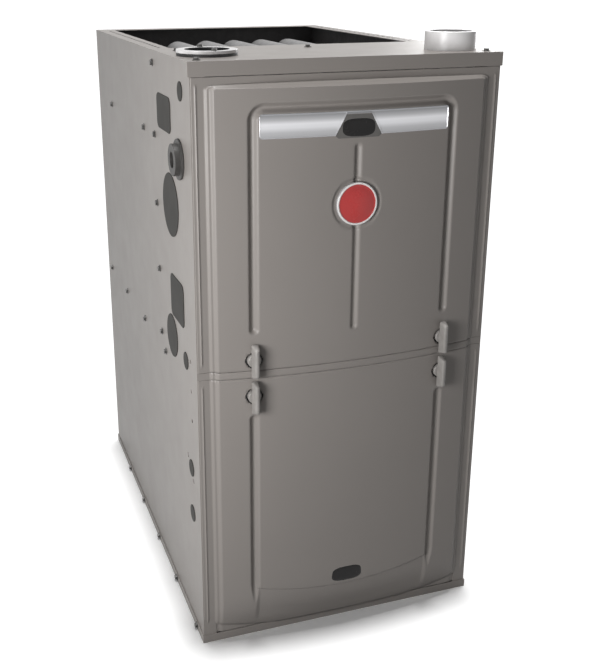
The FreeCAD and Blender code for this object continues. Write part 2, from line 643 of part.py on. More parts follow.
def screw(at, along, reach="screw_reach", washer="screw_washer"):
    """A hex-head screw whose head stands on a face, its shank going in."""
    lift = number("screw_washer_height")
    hexagon = [Vector(number("screw_head"), 0, lift)]
    sides = 6
    turn = Rotation(Vector(0, 0, 1), 360 / sides)
    for corner in range(sides):
        hexagon.append(turn.multVec(hexagon[-1]))
    head = Part.Face(Part.makePolygon(hexagon)).extrude(Vector(0, 0, number("screw_head_height")))
    rim = Part.makeCylinder(number(washer), lift)
    shank = Part.makeCylinder(number("screw_shank"), number(reach), Vector(), Vector(0, 0, -1))
    shape = head.fuse([rim, shank]).removeSplitter()
    shape.Placement = Placement(at, ALONG[along])
    return shape


def screw_hole(at, along, reach="screw_reach"):
    radius = number("screw_shank + shaft_play")
    deep = Part.makeCylinder(radius, number(reach) + number("fit_gap"), Vector(), Vector(0, 0, -1))
    deep.Placement = Placement(at, ALONG[along])
    return deep


# Screw places. Each side has a deck row, a vestibule column, two beside the tubes and a base row.
side_places = []
for station in range(count("deck_screw_count")):
    side_places.append((f"deck_screw_first + {station} * deck_screw_pitch",
                        "deck_height - deck_screw_drop"))
for station in range(count("column_screw_count")):
    side_places.append(("vestibule_depth + gauge + vestibule_flange / 2",
                        f"deck_height + column_screw_rise + {station} * column_screw_pitch"))
for station in range(count("tube_screw_count")):
    side_places.append((f"tube_screw_first + {station} * tube_screw_pitch", "tube_screw_height"))
side_screws = {-1: [], 1: []}
side_holes = {-1: [], 1: []}
base_screws = []
base_holes = []
for sign, outward in ((-1, "-X"), (1, "X")):
    for inset, height in side_places:
        at = spot(f"{sign} * {HALF}", inset_y(inset), height)
        side_screws[sign].append(screw(at, outward))
        side_holes[sign].append(screw_hole(at, outward))
    for station in range(count("base_screw_count")):
        at = spot(f"{sign} * ({HALF} + fit_gap + gauge)",
                  inset_y(f"base_screw_first + {station} * base_screw_pitch"), "base_height / 2")
        base_screws.append(screw(at, outward))
        base_holes.append(screw_hole(at, outward))

LEDGE_TOP = "(casing_height + gauge)"
COLLAR_TOP = "(casing_height + gauge + gasket_thickness + intake_flange_height)"
ledge_places = [("0", "ledge_screw_inset")]
for sign in (-1, 1):
    ledge_places.append((f"{sign} * ({HALF} - ledge_screw_side)", "ledge_screw_inset"))
    ledge_places.append((f"{sign} * ({HALF} - corner_screw_side)", "corner_screw_inset"))
ledge_spots = [spot(across, inset_y(inset), LEDGE_TOP) for across, inset in ledge_places]
collar_spots = []
for sign in (-1, 1):
    collar_spots.append(spot(INTAKE_X, f"{INTAKE_Y} + {sign} * collar_screw_circle", COLLAR_TOP))
ledge_screws = [screw(at, "Z") for at in ledge_spots]
collar_screws = [screw(at, "Z", "collar_screw_reach", "screw_head") for at in collar_spots]
collar_holes = made("collar_holes", Part.makeCompound(
    [screw_hole(at, "Z", "collar_screw_reach") for at in collar_spots]))
ledge_holes = made("ledge_holes", Part.makeCompound([screw_hole(at, "Z") for at in ledge_spots]))
side_hole_cuts = {sign: made("side_holes", Part.makeCompound(side_holes[sign])) for sign in (-1, 1)}
base_hole_cut = made("base_holes", Part.makeCompound(base_holes))
all_screws = side_screws[-1] + side_screws[1] + base_screws + ledge_screws + collar_screws
node("cabinet_screws", made("screws", Part.makeCompound(all_screws)))

# Knockouts in each side panel: centre inset, height, then a radius or a width and height.
round_knockouts = (
    ("corner_port_inset", "corner_port_height", "small_knockout"),
    ("large_port_inset", "large_port_height", "large_knockout"),
    ("middle_port_inset", "middle_port_height", "middle_knockout"),
    ("rail_port_inset", "rail_port_height", "small_knockout"),
    ("drain_port_inset", "drain_port_height", "small_knockout"),
    ("drain_port_inset", "drain_port_height + drain_port_pitch", "small_knockout"),
)
flat_knockouts = (
    ("slot_port_inset", "slot_port_height", "slot_knockout_width", "slot_knockout_height"),
    ("square_port_inset", "square_port_height", "square_knockout_width", "square_knockout_height"),
)


def flat_block(name, sign, inset, thickness, knockout, grow):
    across, height, width, tall = knockout
    block = box(name + "_block",
                (side_low(sign, inset, thickness), inset_y(f"{across} - {width} / 2 - ({grow})"),
                 f"{height} - {tall} / 2 - ({grow})"),
                (thickness, f"{width} + 2 * ({grow})", f"{tall} + 2 * ({grow})"))
    return eased(name, block, f"knockout_corner + ({grow})")


def knockout_holes(sign, rounds):
    holes = []
    for across, height, radius in rounds:
        holes.append(rod("knockout_hole", f"{radius} + fit_gap", "gauge",
                         (side_low(sign, 0, "gauge"), inset_y(across), height), "X"))
    for knockout in flat_knockouts:
        holes.append(flat_block("flat_hole", sign, "0", "gauge", knockout, "fit_gap"))
    return holes


def knockout_plugs(sign, rounds):
    plugs = []
    for across, height, radius in rounds:
        body = rod("plug_body", radius, "gauge", (side_low(sign, 0, "gauge"), inset_y(across), height), "X")
        rim = rod("plug_face", f"{radius} + plug_lip", "plug_rim",
                  (side_low(sign, "-plug_rim", "plug_rim"), inset_y(across), height), "X")
        plugs.append(join("round_plug", body, rim))
    for knockout in flat_knockouts:
        body = flat_block("flat_body", sign, "0", "gauge", knockout, "0")
        rim = flat_block("flat_face", sign, "-plug_rim", "plug_rim", knockout, "plug_lip")
        plugs.append(join("flat_plug", body, rim))
    return plugs


def panel_openings(sign):
    """The service holes, pilot holes and supply-flange slots of one side panel."""
    places = [("upper_hole_inset", "upper_hole_height", "service_hole"),
              ("lower_hole_inset", "lower_hole_height", "service_hole")]
    for station in range(count("dimple_count")):
        places.append(("dimple_inset", f"dimple_first + {station} * dimple_pitch", "dimple_hole"))
    cuts = [rod("panel_hole", radius, "gauge", (side_low(sign, 0, "gauge"), inset_y(inset), height), "X")
            for inset, height, radius in places]
    for station in range(count("flange_slot_count")):
        inset = f"ledge_depth + flange_slot_first + {station} * flange_slot_pitch"
        cuts.append(box("flange_slot", (side_low(sign, "flange_slot_inset", "flange_slot_width"),
                                        inset_y(inset),
                                        "casing_height - gauge"),
                        ("flange_slot_width", "flange_slot_length", "gauge")))
    return group("panel_openings", *cuts)


# Side panels: a wall with a front flange and a top flange, cut for its knockouts and screws.
# The right side's unused gas entry is a knockout, where the left side has the grommet.
gas_entry = ("grommet_inset", "grommet_height", "grommet_hole")
plugs = []
for side, sign in (("left", -1), ("right", 1)):
    wall = box(side + "_wall", (side_low(sign, 0, "gauge"), FRONT, "gauge"),
               ("gauge", "casing_depth", "casing_height - gauge"))
    front = box(side + "_front_flange", (side_low(sign, 0, "front_return"), FRONT, "gauge"),
                ("front_return", "gauge", "casing_height - gauge"))
    top = box(side + "_top_flange",
              (side_low(sign, 0, "top_return"), inset_y("ledge_depth - ledge_overlap"),
               "casing_height - gauge"),
              ("top_return", "casing_depth - ledge_depth + ledge_overlap - gauge", "gauge"))
    plug_rounds = round_knockouts + ((gas_entry,) if sign > 0 else ())
    holes = knockout_holes(sign, round_knockouts + (gas_entry,))
    panel = cut(side + "_sheet", join(side + "_folded", wall, front, top),
                group(side + "_knockouts", *holes), panel_openings(sign), side_hole_cuts[sign],
                base_hole_cut)
    node(side + "_panel", panel)
    plugs += knockout_plugs(sign, plug_rounds)
node("knockout_plugs", group("plugs", *plugs))

# Back panel: a wall between the side panels, with flanges to both and one to the supply opening.
back_wall = box("back_wall", (f"-{HALF} + gauge", f"{BACK} - gauge", "gauge"),
                ("casing_width - 2 * gauge", "gauge", "casing_height - gauge"))
back_top = box("back_top_flange",
               (f"-{HALF} + top_return + fit_gap", f"{BACK} - top_return", "casing_height - gauge"),
               ("casing_width - 2 * top_return - 2 * fit_gap", "top_return", "gauge"))
back_sides = []
for sign in (-1, 1):
    back_sides.append(box("back_side_flange",
                          (side_low(sign, "gauge", "gauge"), f"{BACK} - back_flange", "gauge"),
                          ("gauge", "back_flange", "casing_height - 2 * gauge - fit_gap")))
node("back_panel", cut("back_sheet", join("back_folded", back_wall, back_top, *back_sides),
                       side_hole_cuts[-1], side_hole_cuts[1], base_hole_cut))

# Base pan: a shallow tray whose rim stands round the casing's foot.
RIM = "(fit_gap + gauge)"
tray = box("tray", (f"-{HALF} - {RIM}", f"{FRONT} - {RIM}", "0"),
           (f"casing_width + 2 * {RIM}", f"casing_depth + 2 * {RIM}", "base_height"))
tray_room = box("tray_room", (f"-{HALF} - fit_gap", f"{FRONT} - fit_gap", "gauge"),
                ("casing_width + 2 * fit_gap", "casing_depth + 2 * fit_gap", "base_height"))
node("base_pan", cut("pan", tray, tray_room, base_hole_cut))

# Top plate: the front ledge with a turned-down lip, open for the vent and the air collar.
ledge = box("ledge", (f"-{HALF} - top_overhang", f"{FRONT} - {RIM}", "casing_height"),
            ("casing_width + 2 * top_overhang", f"ledge_depth + {RIM}", "gauge"))
LIP_BOTTOM = "(casing_height + gauge - lip_height)"
lip = box("lip", (f"-{HALF} - top_overhang", f"{FRONT} - {RIM}", LIP_BOTTOM),
          ("casing_width + 2 * top_overhang", "gauge", "lip_height"))
lip_sides = [box("lip_side", (side_low(sign, "-top_overhang", "gauge"), f"{FRONT} - {RIM}", LIP_BOTTOM),
                 ("gauge", "lip_return", "lip_height")) for sign in (-1, 1)]
vent_hole = rod("vent_hole", "vent_bore + vent_wall + fit_gap", "gauge", (VENT_X, VENT_Y, "casing_height"))
intake_hole = rod("intake_hole", "intake_bore + intake_wall + fit_gap", "gauge",
                  (INTAKE_X, INTAKE_Y, "casing_height"))
node("top_plate", cut("plate", join("plate_folded", ledge, lip, *lip_sides),
                      vent_hole, intake_hole, ledge_holes, collar_holes))

# Vestibule panel: the wall behind the burners, open for the tubes and the coil.
vestibule = box("vestibule_wall", (f"-{INNER}", VESTIBULE, "deck_height"),
                (f"2 * {INNER}", "gauge", "casing_height - deck_height"))
vestibule_top = box("vestibule_top",
                    (f"-{INNER}", f"{VESTIBULE} - vestibule_top_flange", "casing_height - gauge"),
                    (f"2 * {INNER}", "vestibule_top_flange + gauge", "gauge"))
vestibule_sides = []
for sign in (-1, 1):
    vestibule_sides.append(box("vestibule_side",
                               (side_low(sign, "gauge + fit_gap", "gauge"), VESTIBULE, "deck_height"),
                               ("gauge", "vestibule_flange + gauge",
                                "casing_height - deck_height - gauge - fit_gap")))
tube_places = [f"({index} * tube_pitch - tube_span)" for index in range(count("tube_count"))]
tube_holes = [rod("tube_hole", "tube_radius + fit_gap", "gauge", (across, VESTIBULE, "burner_height"), "Y")
              for across in tube_places]
coil_opening = box("coil_opening",
                   ("-coil_half + coil_opening_inset", VESTIBULE, "coil_bottom + coil_opening_inset"),
                   ("2 * coil_half - 2 * coil_opening_inset", "gauge",
                    "coil_height - 2 * coil_opening_inset"))
vestibule_folded = join("vestibule_folded", vestibule, vestibule_top, *vestibule_sides)
node("vestibule_panel", cut("vestibule_sheet", vestibule_folded, group("tube_holes", *tube_holes),
                            coil_opening,
                            side_hole_cuts[-1], side_hole_cuts[1], ledge_holes))

# Blower deck: the floor of the heat section, open above the blower and for the drain hose.
CUTOFF_Y = "(blower_y + scroll_start * cos(scroll_cutoff * 1 deg))"
deck = box("deck_plate", (f"-{INNER}", inset_y("deck_setback"), DECK_UNDER),
           (f"2 * {INNER}", "casing_depth - deck_setback - gauge - fit_gap", "gauge"))
deck_sides = []
for sign in (-1, 1):
    deck_sides.append(box("deck_side", (side_low(sign, "gauge + fit_gap", "gauge"), inset_y("deck_setback"),
                                        "deck_height - deck_flange"),
                          ("gauge", "casing_depth - deck_setback - back_flange - gauge - fit_gap",
                           "deck_flange")))
blower_opening = box("blower_opening", ("-blower_half + gauge", "blower_y - scroll_end + gauge",
                                        DECK_UNDER),
                     ("2 * blower_half - 2 * gauge", f"{CUTOFF_Y} - blower_y + scroll_end - 2 * gauge",
                      "gauge"))
DRAIN_Y = "(-casing_depth / 2 + vestibule_depth - collector_depth / 2)"
drain_hole = rod("drain_hole", "hose_radius + fit_gap", "gauge", ("drain_x", DRAIN_Y, DECK_UNDER))
notches = [box("deck_notch", (side_low(sign, "gauge", "gauge + 2 * fit_gap"),
                              f"{BACK} - back_flange - fit_gap",
                              DECK_UNDER), ("gauge + 2 * fit_gap", "back_flange", "gauge")) for sign in (-1,
                                                                                                         1)]
node("blower_deck", cut("deck_sheet", join("deck_folded", deck, *deck_sides), blower_opening, drain_hole,
                        group("deck_notches", *notches), side_hole_cuts[-1], side_hole_cuts[1]))

# Door rail: the channel across the casing's front that the latch cams turn behind.
rail_web = box("rail_web", (f"-{INNER}", inset_y("gauge"), "rail_bottom"),
               (f"2 * {INNER}", "gauge", "rail_height"))
rail_flanges = [box("rail_flange", (f"-{INNER}", inset_y("gauge"), height),
                    (f"2 * {INNER}", "rail_depth", "gauge"))
                for height in ("rail_bottom", "rail_bottom + rail_height - gauge")]
cam_slots = []
for sign in (-1, 1):
    for height in ("upper_latch_height", "lower_latch_height"):
        cam_slots.append(box("cam_slot", (f"{sign} * groove_x - cam_width / 2 - cam_clearance",
                                          inset_y("gauge"),
                                          f"{height} - cam_length / 2 - cam_clearance"),
                             ("cam_width + 2 * cam_clearance", "gauge", "cam_length + 2 * cam_clearance")))
node("door_rail", cut("rail", join("rail_folded", rail_web, *rail_flanges), group("cam_slots", *cam_slots)))

# Wall insulation: pads inside the heat section's side and back walls.
LINER_BOTTOM = "(deck_height + fit_gap)"
LINER_HEIGHT = "(casing_height - gauge - deck_height - 2 * fit_gap)"
SIDE_PAD_FRONT = "(-casing_depth / 2 + vestibule_depth + vestibule_flange + gauge + fit_gap)"
pads = []
for sign in (-1, 1):
    pads.append(box("side_pad", (side_low(sign, "gauge", "liner_thickness"), SIDE_PAD_FRONT, LINER_BOTTOM),
                    ("liner_thickness", f"{BACK} - back_flange - fit_gap - {SIDE_PAD_FRONT}",
                     LINER_HEIGHT)))
pads.append(box("back_pad",
                (f"-{HALF} + 2 * gauge + fit_gap", f"{BACK} - gauge - liner_thickness", LINER_BOTTOM),
                ("casing_width - 4 * gauge - 2 * fit_gap", "liner_thickness", LINER_HEIGHT)))
node("wall_insulation", cut("pads_cut", group("pads", *pads), side_hole_cuts[-1], side_hole_cuts[1]))


def face_block(name, bottom, top, slope_top, shrink):
    """The doors' raised face: sloped edges under a bowed front. It shrinks by a skin's thickness."""
    foot = f"({HALF} - pillow_inset - ({shrink}) * sqrt(1 + edge_slope ^ 2))"
    run = f"({FACE_DEPTH} * edge_slope)"
    roof = f"({top} - ({shrink}) * sqrt(1 + top_slope ^ 2))" if slope_top else f"({top} - ({shrink}))"
    brow = f"{roof} - {FACE_DEPTH} * top_slope" if slope_top else roof
    wedge = bind(doc.addObject("Part::Wedge", name + "_wedge"),
                 Xmin=f"-{foot} + {run}", Xmax=f"{foot} - {run}", X2min=f"-{foot}", X2max=foot,
                 Ymin=f"{FRONT} - {FACE_DEPTH}", Ymax=FRONT,
                 Zmin=f"{bottom} + ({shrink})", Z2min=f"{bottom} + ({shrink})",
                 Zmax=brow, Z2max=roof)
    return common(name, wedge, bow_drum(name, f"-({shrink})"))


def bow_drum(name, grow):
    return rod(name + "_bow", f"bow_radius + ({grow})", "casing_height", ("0", BOW_Y, "0"))


def bow_y(across, shrink):
    """Y of the bowed face, or of a face inside it, at some distance from the middle."""
    return f"({BOW_Y} - sqrt((bow_radius - ({shrink})) ^ 2 - ({across}) ^ 2))"


def upright_groove(name, across, low, high, grow):
    """A pressed groove's upright run with round ends."""
    centre_y = bow_y(across, "groove_depth - groove_radius")
    size = f"groove_radius + ({grow})"
    return [rod(name, size, f"({high}) - ({low})", (across, centre_y, low)),
            ball(name + "_low_end", size, (across, centre_y, low)),
            ball(name + "_high_end", size, (across, centre_y, high))]


def upper_pressing(grow):
    """The upper door's grooves and the round plate's recess."""
    tools = upright_groove("middle_groove", "0", "groove_upper_end", "middle_groove_top", grow)
    for sign in (-1, 1):
        tools += upright_groove("side_groove", f"{sign} * groove_x", "groove_upper_end", "groove_top", grow)
    sweep = "asin(groove_x / (bow_radius + groove_radius - groove_depth))"
    top = bind(doc.addObject("Part::Torus", "top_groove"),
               Radius1="bow_radius + groove_radius - groove_depth",
               Radius2=f"groove_radius + ({grow})", Angle3=f"2 * {sweep}")
    place(top, ("0", BOW_Y, "groove_top"))
    bind(top, **{"Placement.Rotation.Angle": f"270 deg - {sweep}"})
    recess = rod("badge_recess_tool", f"badge_recess + ({grow})",
                 f"bow_rise + badge_recess_depth + ({grow})",
                 ("0", f"{FRONT} - {FACE_DEPTH}", "badge_height"), "Y")
    return join("upper_pressing", top, recess, *tools)


def lower_pressing(grow):
    """The lower door's grooves and the step below its curved crease."""
    tools = []
    for sign in (-1, 1):
        tools += upright_groove("low_groove", f"{sign} * groove_x", "groove_lower_end",
                                "groove_lower_start",
                                grow)
    crease = "(skirt_radius - sqrt(skirt_radius ^ 2 - groove_x ^ 2))"
    under = box("under_crease", ("-groove_x", f"{FRONT} - {FACE_DEPTH}", f"{LOWER_BOTTOM} + ({grow})"),
                ("2 * groove_x", FACE_DEPTH, f"skirt_bottom + {crease} - {LOWER_BOTTOM}"))
    above = rod("above_crease", f"skirt_radius - ({grow})", FACE_DEPTH,
                ("0", f"{FRONT} - {FACE_DEPTH}", "skirt_bottom + skirt_radius"), "Y")
    step = cut("skirt", under, above, bow_drum("skirt", f"-skirt_step - ({grow})"))
    return join("lower_pressing", step, *tools)


def curved_foot(name, shrink):
    """A wide cone that gives the lower door's raised face its curved foot."""
    radius = f"(smile_radius - ({shrink}) * sqrt(1 + foot_slope ^ 2))"
    cone = bind(doc.addObject("Part::Cone", name), Radius1=radius,
                Radius2=f"{radius} - {FACE_DEPTH} * foot_slope", Height=FACE_DEPTH)
    return place(cone, ("0", FRONT, f"{LOWER_BOTTOM} - smile_drop + smile_radius"), "-Y")


def door_sheet(name, bottom, top, inset):
    """The flat border of a door or of the trim strip."""
    return box(name, (f"-{HALF} + ({inset})", f"{FRONT} - door_gauge", bottom),
               (f"casing_width - 2 * ({inset})", "door_gauge", f"({top}) - ({bottom})"))


def latch_holes(height):
    return group("latch_holes", *[rod("latch_hole", "cup_radius + fit_gap", FACE_DEPTH,
                                      (f"{sign} * groove_x", f"{FRONT} - {FACE_DEPTH}", height), "Y")
                                  for sign in (-1, 1)])


def window_hole(height):
    return oval("window_hole", "window_half_width + fit_gap", "window_half_height + fit_gap", FACE_DEPTH,
                ("0", f"{FRONT} - {FACE_DEPTH}", height))


# Upper door: a bordered sheet with a bowed, grooved face, hollow behind.
FACE_TOP = f"({UPPER_TOP} - pillow_top_inset)"
upper_shell = join("upper_shell", door_sheet("upper_border", UPPER_BOTTOM, UPPER_TOP, "door_inset"),
                   face_block("upper_face", UPPER_BOTTOM, FACE_TOP, True, "0"))
upper_hollow = cut("upper_hollow", face_block("upper_inside", UPPER_BOTTOM, FACE_TOP, True, "door_gauge"),
                   upper_pressing("door_gauge"))
node("upper_door", cut("upper_skin", upper_shell, upper_pressing("0"), upper_hollow,
                       latch_holes("upper_latch_height"), window_hole("upper_window_height")))

# Lower door: the same, with a curved crease and a curved foot.
lower_face = common("lower_face", face_block("lower_block", LOWER_BOTTOM, LOWER_TOP, False, "0"),
                    curved_foot("lower_foot", "0"))
lower_border = door_sheet("lower_border", LOWER_BOTTOM, LOWER_TOP, "door_inset")
lower_shell = join("lower_shell", lower_border, lower_face)
lower_inside = common("lower_inside", face_block("lower_core", LOWER_BOTTOM, LOWER_TOP, False,
                                                 "door_gauge"),
                      curved_foot("lower_core_foot", "door_gauge"))
lower_hollow = cut("lower_hollow", lower_inside, lower_pressing("door_gauge"))
node("lower_door", cut("lower_skin", lower_shell, lower_pressing("0"), lower_hollow,
                       latch_holes("lower_latch_height"), window_hole("lower_window_height")))

# Trim strip: fills the seam between the doors with the same bowed section.
TRIM_TOP = "(trim_bottom + trim_height)"
trim_shell = join("trim_shell", door_sheet("trim_border", "trim_bottom", TRIM_TOP, "0"),
                  face_block("trim_face", "trim_bottom", TRIM_TOP, False, "0"))
trim_inside = face_block("trim_inside", "trim_bottom", TRIM_TOP, False, "door_gauge")
node("centre_trim", cut("trim_skin", trim_shell, trim_inside))

# Sight windows: dark ovals with a lip behind the door skin.
for door in ("upper", "lower"):
    height = door + "_window_height"
    lip_y = bow_y("window_half_width + window_lip", "door_gauge + fit_gap")
    face_y = f"({FRONT} - bow_rise - window_proud)"
    pane = oval(door + "_pane", "window_half_width", "window_half_height", f"{lip_y} - {face_y}",
                ("0", face_y, height))
    back_lip = oval(door + "_pane_lip", "window_half_width + window_lip", "window_half_height + window_lip",
                    "window_lip_depth", ("0", lip_y, height))
    node(door + "_window", join(door + "_window_body", pane, back_lip))

# Strip plate: a thin curved plate on the upper door, notched round the window.
strip_block = box("strip_block", ("-strip_half", f"{FRONT} - {FACE_DEPTH}", "strip_bottom"),
                  ("2 * strip_half", FACE_DEPTH, "strip_height"))
strip_front = common("strip_front", strip_block, bow_drum("strip", "strip_thickness"))
notch = bind(doc.addObject("Part::Wedge", "notch"), Ymin="0", Ymax="notch_height",
             Xmin="-notch_half_bottom", Xmax="notch_half_bottom",
             X2min="-notch_half_top", X2max="notch_half_top",
             Zmin="0", Z2min="0", Zmax=FACE_DEPTH, Z2max=FACE_DEPTH)
place(notch, ("0", FRONT, "strip_bottom"), "-Y")
node("strip_plate", cut("strip", strip_front, bow_drum("strip_back", "0"), notch))

# Round plate: a low dome seated in its recess.
BADGE_SEAT = f"({FRONT} - bow_rise + badge_recess_depth)"
node("round_plate", turned("badge", (("0", "0"), ("badge_radius", "0"), ("badge_radius", "badge_thickness"),
                                     ("badge_radius / 2", "badge_thickness + badge_dome * 3 / 4"),
                                     ("0", "badge_thickness + badge_dome")),
                           ("0", BADGE_SEAT, "badge_height"), "-Y"))

# Latches: a cup in the door skin, and in it a winged knob whose shaft carries the cam behind the rail.
CUP_RIM = f"({bow_y('groove_x', '0')} + cup_setback)"
CUP_BACK = f"({CUP_RIM} + cup_depth)"
RIDGE_Y = bow_y("groove_x + cup_radius + cup_ridge", "door_gauge + fit_gap")
DISC_Y = f"({bow_y('groove_x', '0')} - knob_proud)"
CAM_Y = inset_y("2 * gauge + cam_clearance")
for door in ("upper", "lower"):
    height = door + "_latch_height"
    cups = []
    for side, sign in (("left", -1), ("right", 1)):
        across = f"{sign} * groove_x"
        cup = rod("cup_body", "cup_radius", "cup_depth", (across, CUP_RIM, height), "Y")
        ridge = rod("cup_ridge", "cup_radius + cup_ridge", f"{CUP_BACK} - {RIDGE_Y}",
                    (across, RIDGE_Y, height), "Y")
        room = rod("cup_room", "cup_radius - cup_wall", "cup_depth - cup_wall", (across, CUP_RIM, height),
                   "Y")
        bore = rod("cup_bore", "latch_shaft + shaft_play", "cup_depth", (across, CUP_RIM, height), "Y")
        cups.append(cut("cup", join("cup_solid", cup, ridge), room, bore))
        disc = rod("knob_disc", "knob_radius", f"{CUP_BACK} - cup_wall - fit_gap - {DISC_Y}",
                   (across, DISC_Y, height), "Y")
        wing_y = f"({DISC_Y} - wing_height)"
        wing = box("wing",
                   (f"{across} - wing_width / 2", wing_y, f"{height} - wing_length / 2 + wing_width / 2"),
                   ("wing_width", "wing_height", "wing_length - wing_width"))
        ends = [rod("wing_end", "wing_width / 2", "wing_height",
                    (across, wing_y, f"{height} + {way} * (wing_length - wing_width) / 2"), "Y")
                for way in (-1, 1)]
        shaft = rod("latch_shaft_bar", "latch_shaft", f"{CAM_Y} + cam_thickness + shaft_end - {DISC_Y}",
                    (across, DISC_Y, height), "Y")
        knob = join("knob", disc, wing, *ends, shaft)
        cam = box("cam_plate", (f"{across} - cam_width / 2", CAM_Y, f"{height} - cam_length / 2"),
                  ("cam_width", "cam_thickness", "cam_length"))
        eye = rod("cam_eye", "latch_shaft", "cam_thickness", (across, CAM_Y, height), "Y")
        node(f"{door}_{side}_latch", group("latch", knob, cut("cam", cam, eye)))
    node(door + "_latch_cups", group(door + "_cups", *cups))

# Door striker: the block behind the lower door that presses the door switch.
STRIKER_Z = "(rail_bottom - switch_height / 2)"
striker = box("striker_block",
              ("switch_x - striker_width / 2", f"{FRONT} - {FACE_DEPTH}",
               f"{STRIKER_Z} - striker_width / 2"),
              ("striker_width", f"{FACE_DEPTH} - plunger_tip - fit_gap", "striker_width"))
node("switch_striker", common("striker", striker, bow_drum("striker", "-door_gauge")))

# Door switch: a body under the door rail with a sprung plunger.
SWITCH_Y = inset_y("switch_inset")
switch = box("switch_block", ("switch_x - switch_width / 2", SWITCH_Y, "rail_bottom - switch_height"),
             ("switch_width", "switch_depth", "switch_height"))
switch_bore = rod("switch_bore", "plunger_radius + shaft_play", "plunger_reach + plunger_travel",
                  ("switch_x", SWITCH_Y, STRIKER_Z), "Y")
node("door_switch", cut("switch", switch, switch_bore))
node("switch_plunger", rod("plunger", "plunger_radius", "switch_inset + plunger_tip + plunger_reach",
                           ("switch_x", f"{FRONT} - plunger_tip", STRIKER_Z), "Y"))

# Vent coupling: a plastic socket through the top plate, with a pipe stop inside.
vent_outside = "(vent_bore + vent_wall)"
vent_low = "(-gauge - vent_reach)"
stop_low = f"({vent_low} / 2)"
node("vent_coupling", turned("coupling", (
    ("vent_bore", vent_low), (vent_outside, vent_low), (vent_outside, "-gauge - vent_flange_height"),
    (f"{vent_outside} + vent_flange", "-gauge - vent_flange_height"),
    (f"{vent_outside} + vent_flange", "-gauge"), (vent_outside, "-gauge"), (vent_outside, "vent_height"),
    ("vent_bore", "vent_height"), ("vent_bore", f"{stop_low} + vent_stop_height"),
    ("vent_bore - vent_stop", f"{stop_low} + vent_stop_height"),
    ("vent_bore - vent_stop", stop_low), ("vent_bore", stop_low)), (VENT_X, VENT_Y, LEDGE_TOP)))

# Air collar and its gasket: the combustion-air inlet in the top plate.
COLLAR_Z = "(casing_height + gauge + gasket_thickness)"
spigot = "(intake_bore + intake_wall)"
collar = turned("collar", (("intake_bore", "-intake_reach"), (spigot, "-intake_reach"), (spigot, "0"),
                           ("intake_flange", "0"), ("intake_flange", "intake_flange_height"),
                           ("intake_bore", "intake_flange_height")), (INTAKE_X, INTAKE_Y, COLLAR_Z))
node("air_collar", cut("collar_drilled", collar, collar_holes))
gasket = ring("gasket", "intake_flange - fit_gap", f"{spigot} + fit_gap", "gasket_thickness",
              (INTAKE_X, INTAKE_Y, LEDGE_TOP))
node("air_collar_gasket", cut("gasket_drilled", gasket, collar_holes))

# Gas grommet: a rubber bush in the left panel that the gas pipe passes through.
node("gas_grommet", turned("grommet", (
    ("grommet_bore", "-gauge - grommet_flange_height"), ("grommet_hub", "-gauge - grommet_flange_height"),
    ("grommet_hub", "-gauge"), ("grommet_hole", "-gauge"), ("grommet_hole", "0"), ("grommet_flange", "0"),
    ("grommet_flange", "grommet_flange_height"), ("grommet_hub", "grommet_flange_height"),
    ("grommet_hub", "grommet_hub_height"), ("grommet_bore", "grommet_hub_height")),
    (f"-{HALF}", inset_y("grommet_inset"), "grommet_height"), "-X"))

# Primary heat exchanger: bent tubes from the burners to the rear header.
tubes = []
for across in tube_places:
    heights = [f"burner_height - {run} * tube_run_pitch" for run in range(3)]
    bends = [inset_y("tube_back + tube_bend"), inset_y("tube_front - tube_bend")]
    corners = [spot(across, VESTIBULE, heights[0]), spot(across, bends[0], heights[0]),
               spot(across, bends[0], heights[1]), spot(across, bends[1], heights[1]),
               spot(across, bends[1], heights[2]), spot(across, inset_y("header_front"), heights[2])]
    outside = pipe(corners, number("tube_bend"), number("tube_radius"))
    tubes.append(outside.cut(pipe(corners, number("tube_bend"), number("tube_radius - tube_wall"))))
node("primary_tubes", made("tubes", Part.makeCompound(tubes)))

# Rear header: the box that turns the flue gas from the tubes down into the coil.
header = box("header_block", ("-header_half", inset_y("header_front"), "coil_bottom"),
             ("2 * header_half", "header_depth", "header_top - coil_bottom"))
header_room = box("header_room",
                  ("-header_half + gauge", inset_y("header_front + gauge"), "coil_bottom + gauge"),
                  ("2 * header_half - 2 * gauge", "header_depth - 2 * gauge",
                   "header_top - coil_bottom - 2 * gauge"))
header_ports = [rod("header_port", "tube_radius - tube_wall", "gauge",
                    (across, inset_y("header_front"), "burner_height - 2 * tube_run_pitch"), "Y")
                for across in tube_places]
header_mouth = box("header_mouth", ("-coil_half + coil_opening_inset", inset_y("header_front"),
                                    "coil_bottom + coil_opening_inset"),
                   ("2 * coil_half - 2 * coil_opening_inset", "gauge",
                    "coil_height - 2 * coil_opening_inset"))
node("rear_header", cut("header", header, header_room, group("header_ports", *header_ports), header_mouth))

# Secondary coil: the finned condensing coil between the rear header and the vestibule panel.
coil_block = box("coil_block", ("-coil_half", f"{VESTIBULE} + gauge", "coil_bottom"),
                 ("2 * coil_half", "header_front - vestibule_depth - gauge", "coil_height"))
gap_length = "(header_front - vestibule_depth - gauge - 2 * coil_end)"
gaps = []
gap_count = count("(2 * coil_half - coil_fin) / coil_fin_pitch")
for index in range(gap_count):
    across = f"({index} - ({gap_count} - 1) / 2) * coil_fin_pitch - (coil_fin_pitch - coil_fin) / 2"
    gaps.append(box("fin_gap", (across, f"{VESTIBULE} + gauge + coil_end", "coil_bottom"),
                    ("coil_fin_pitch - coil_fin", gap_length, "coil_height")))
node("secondary_coil", cut("coil", coil_block, group("fin_gaps", *gaps)))

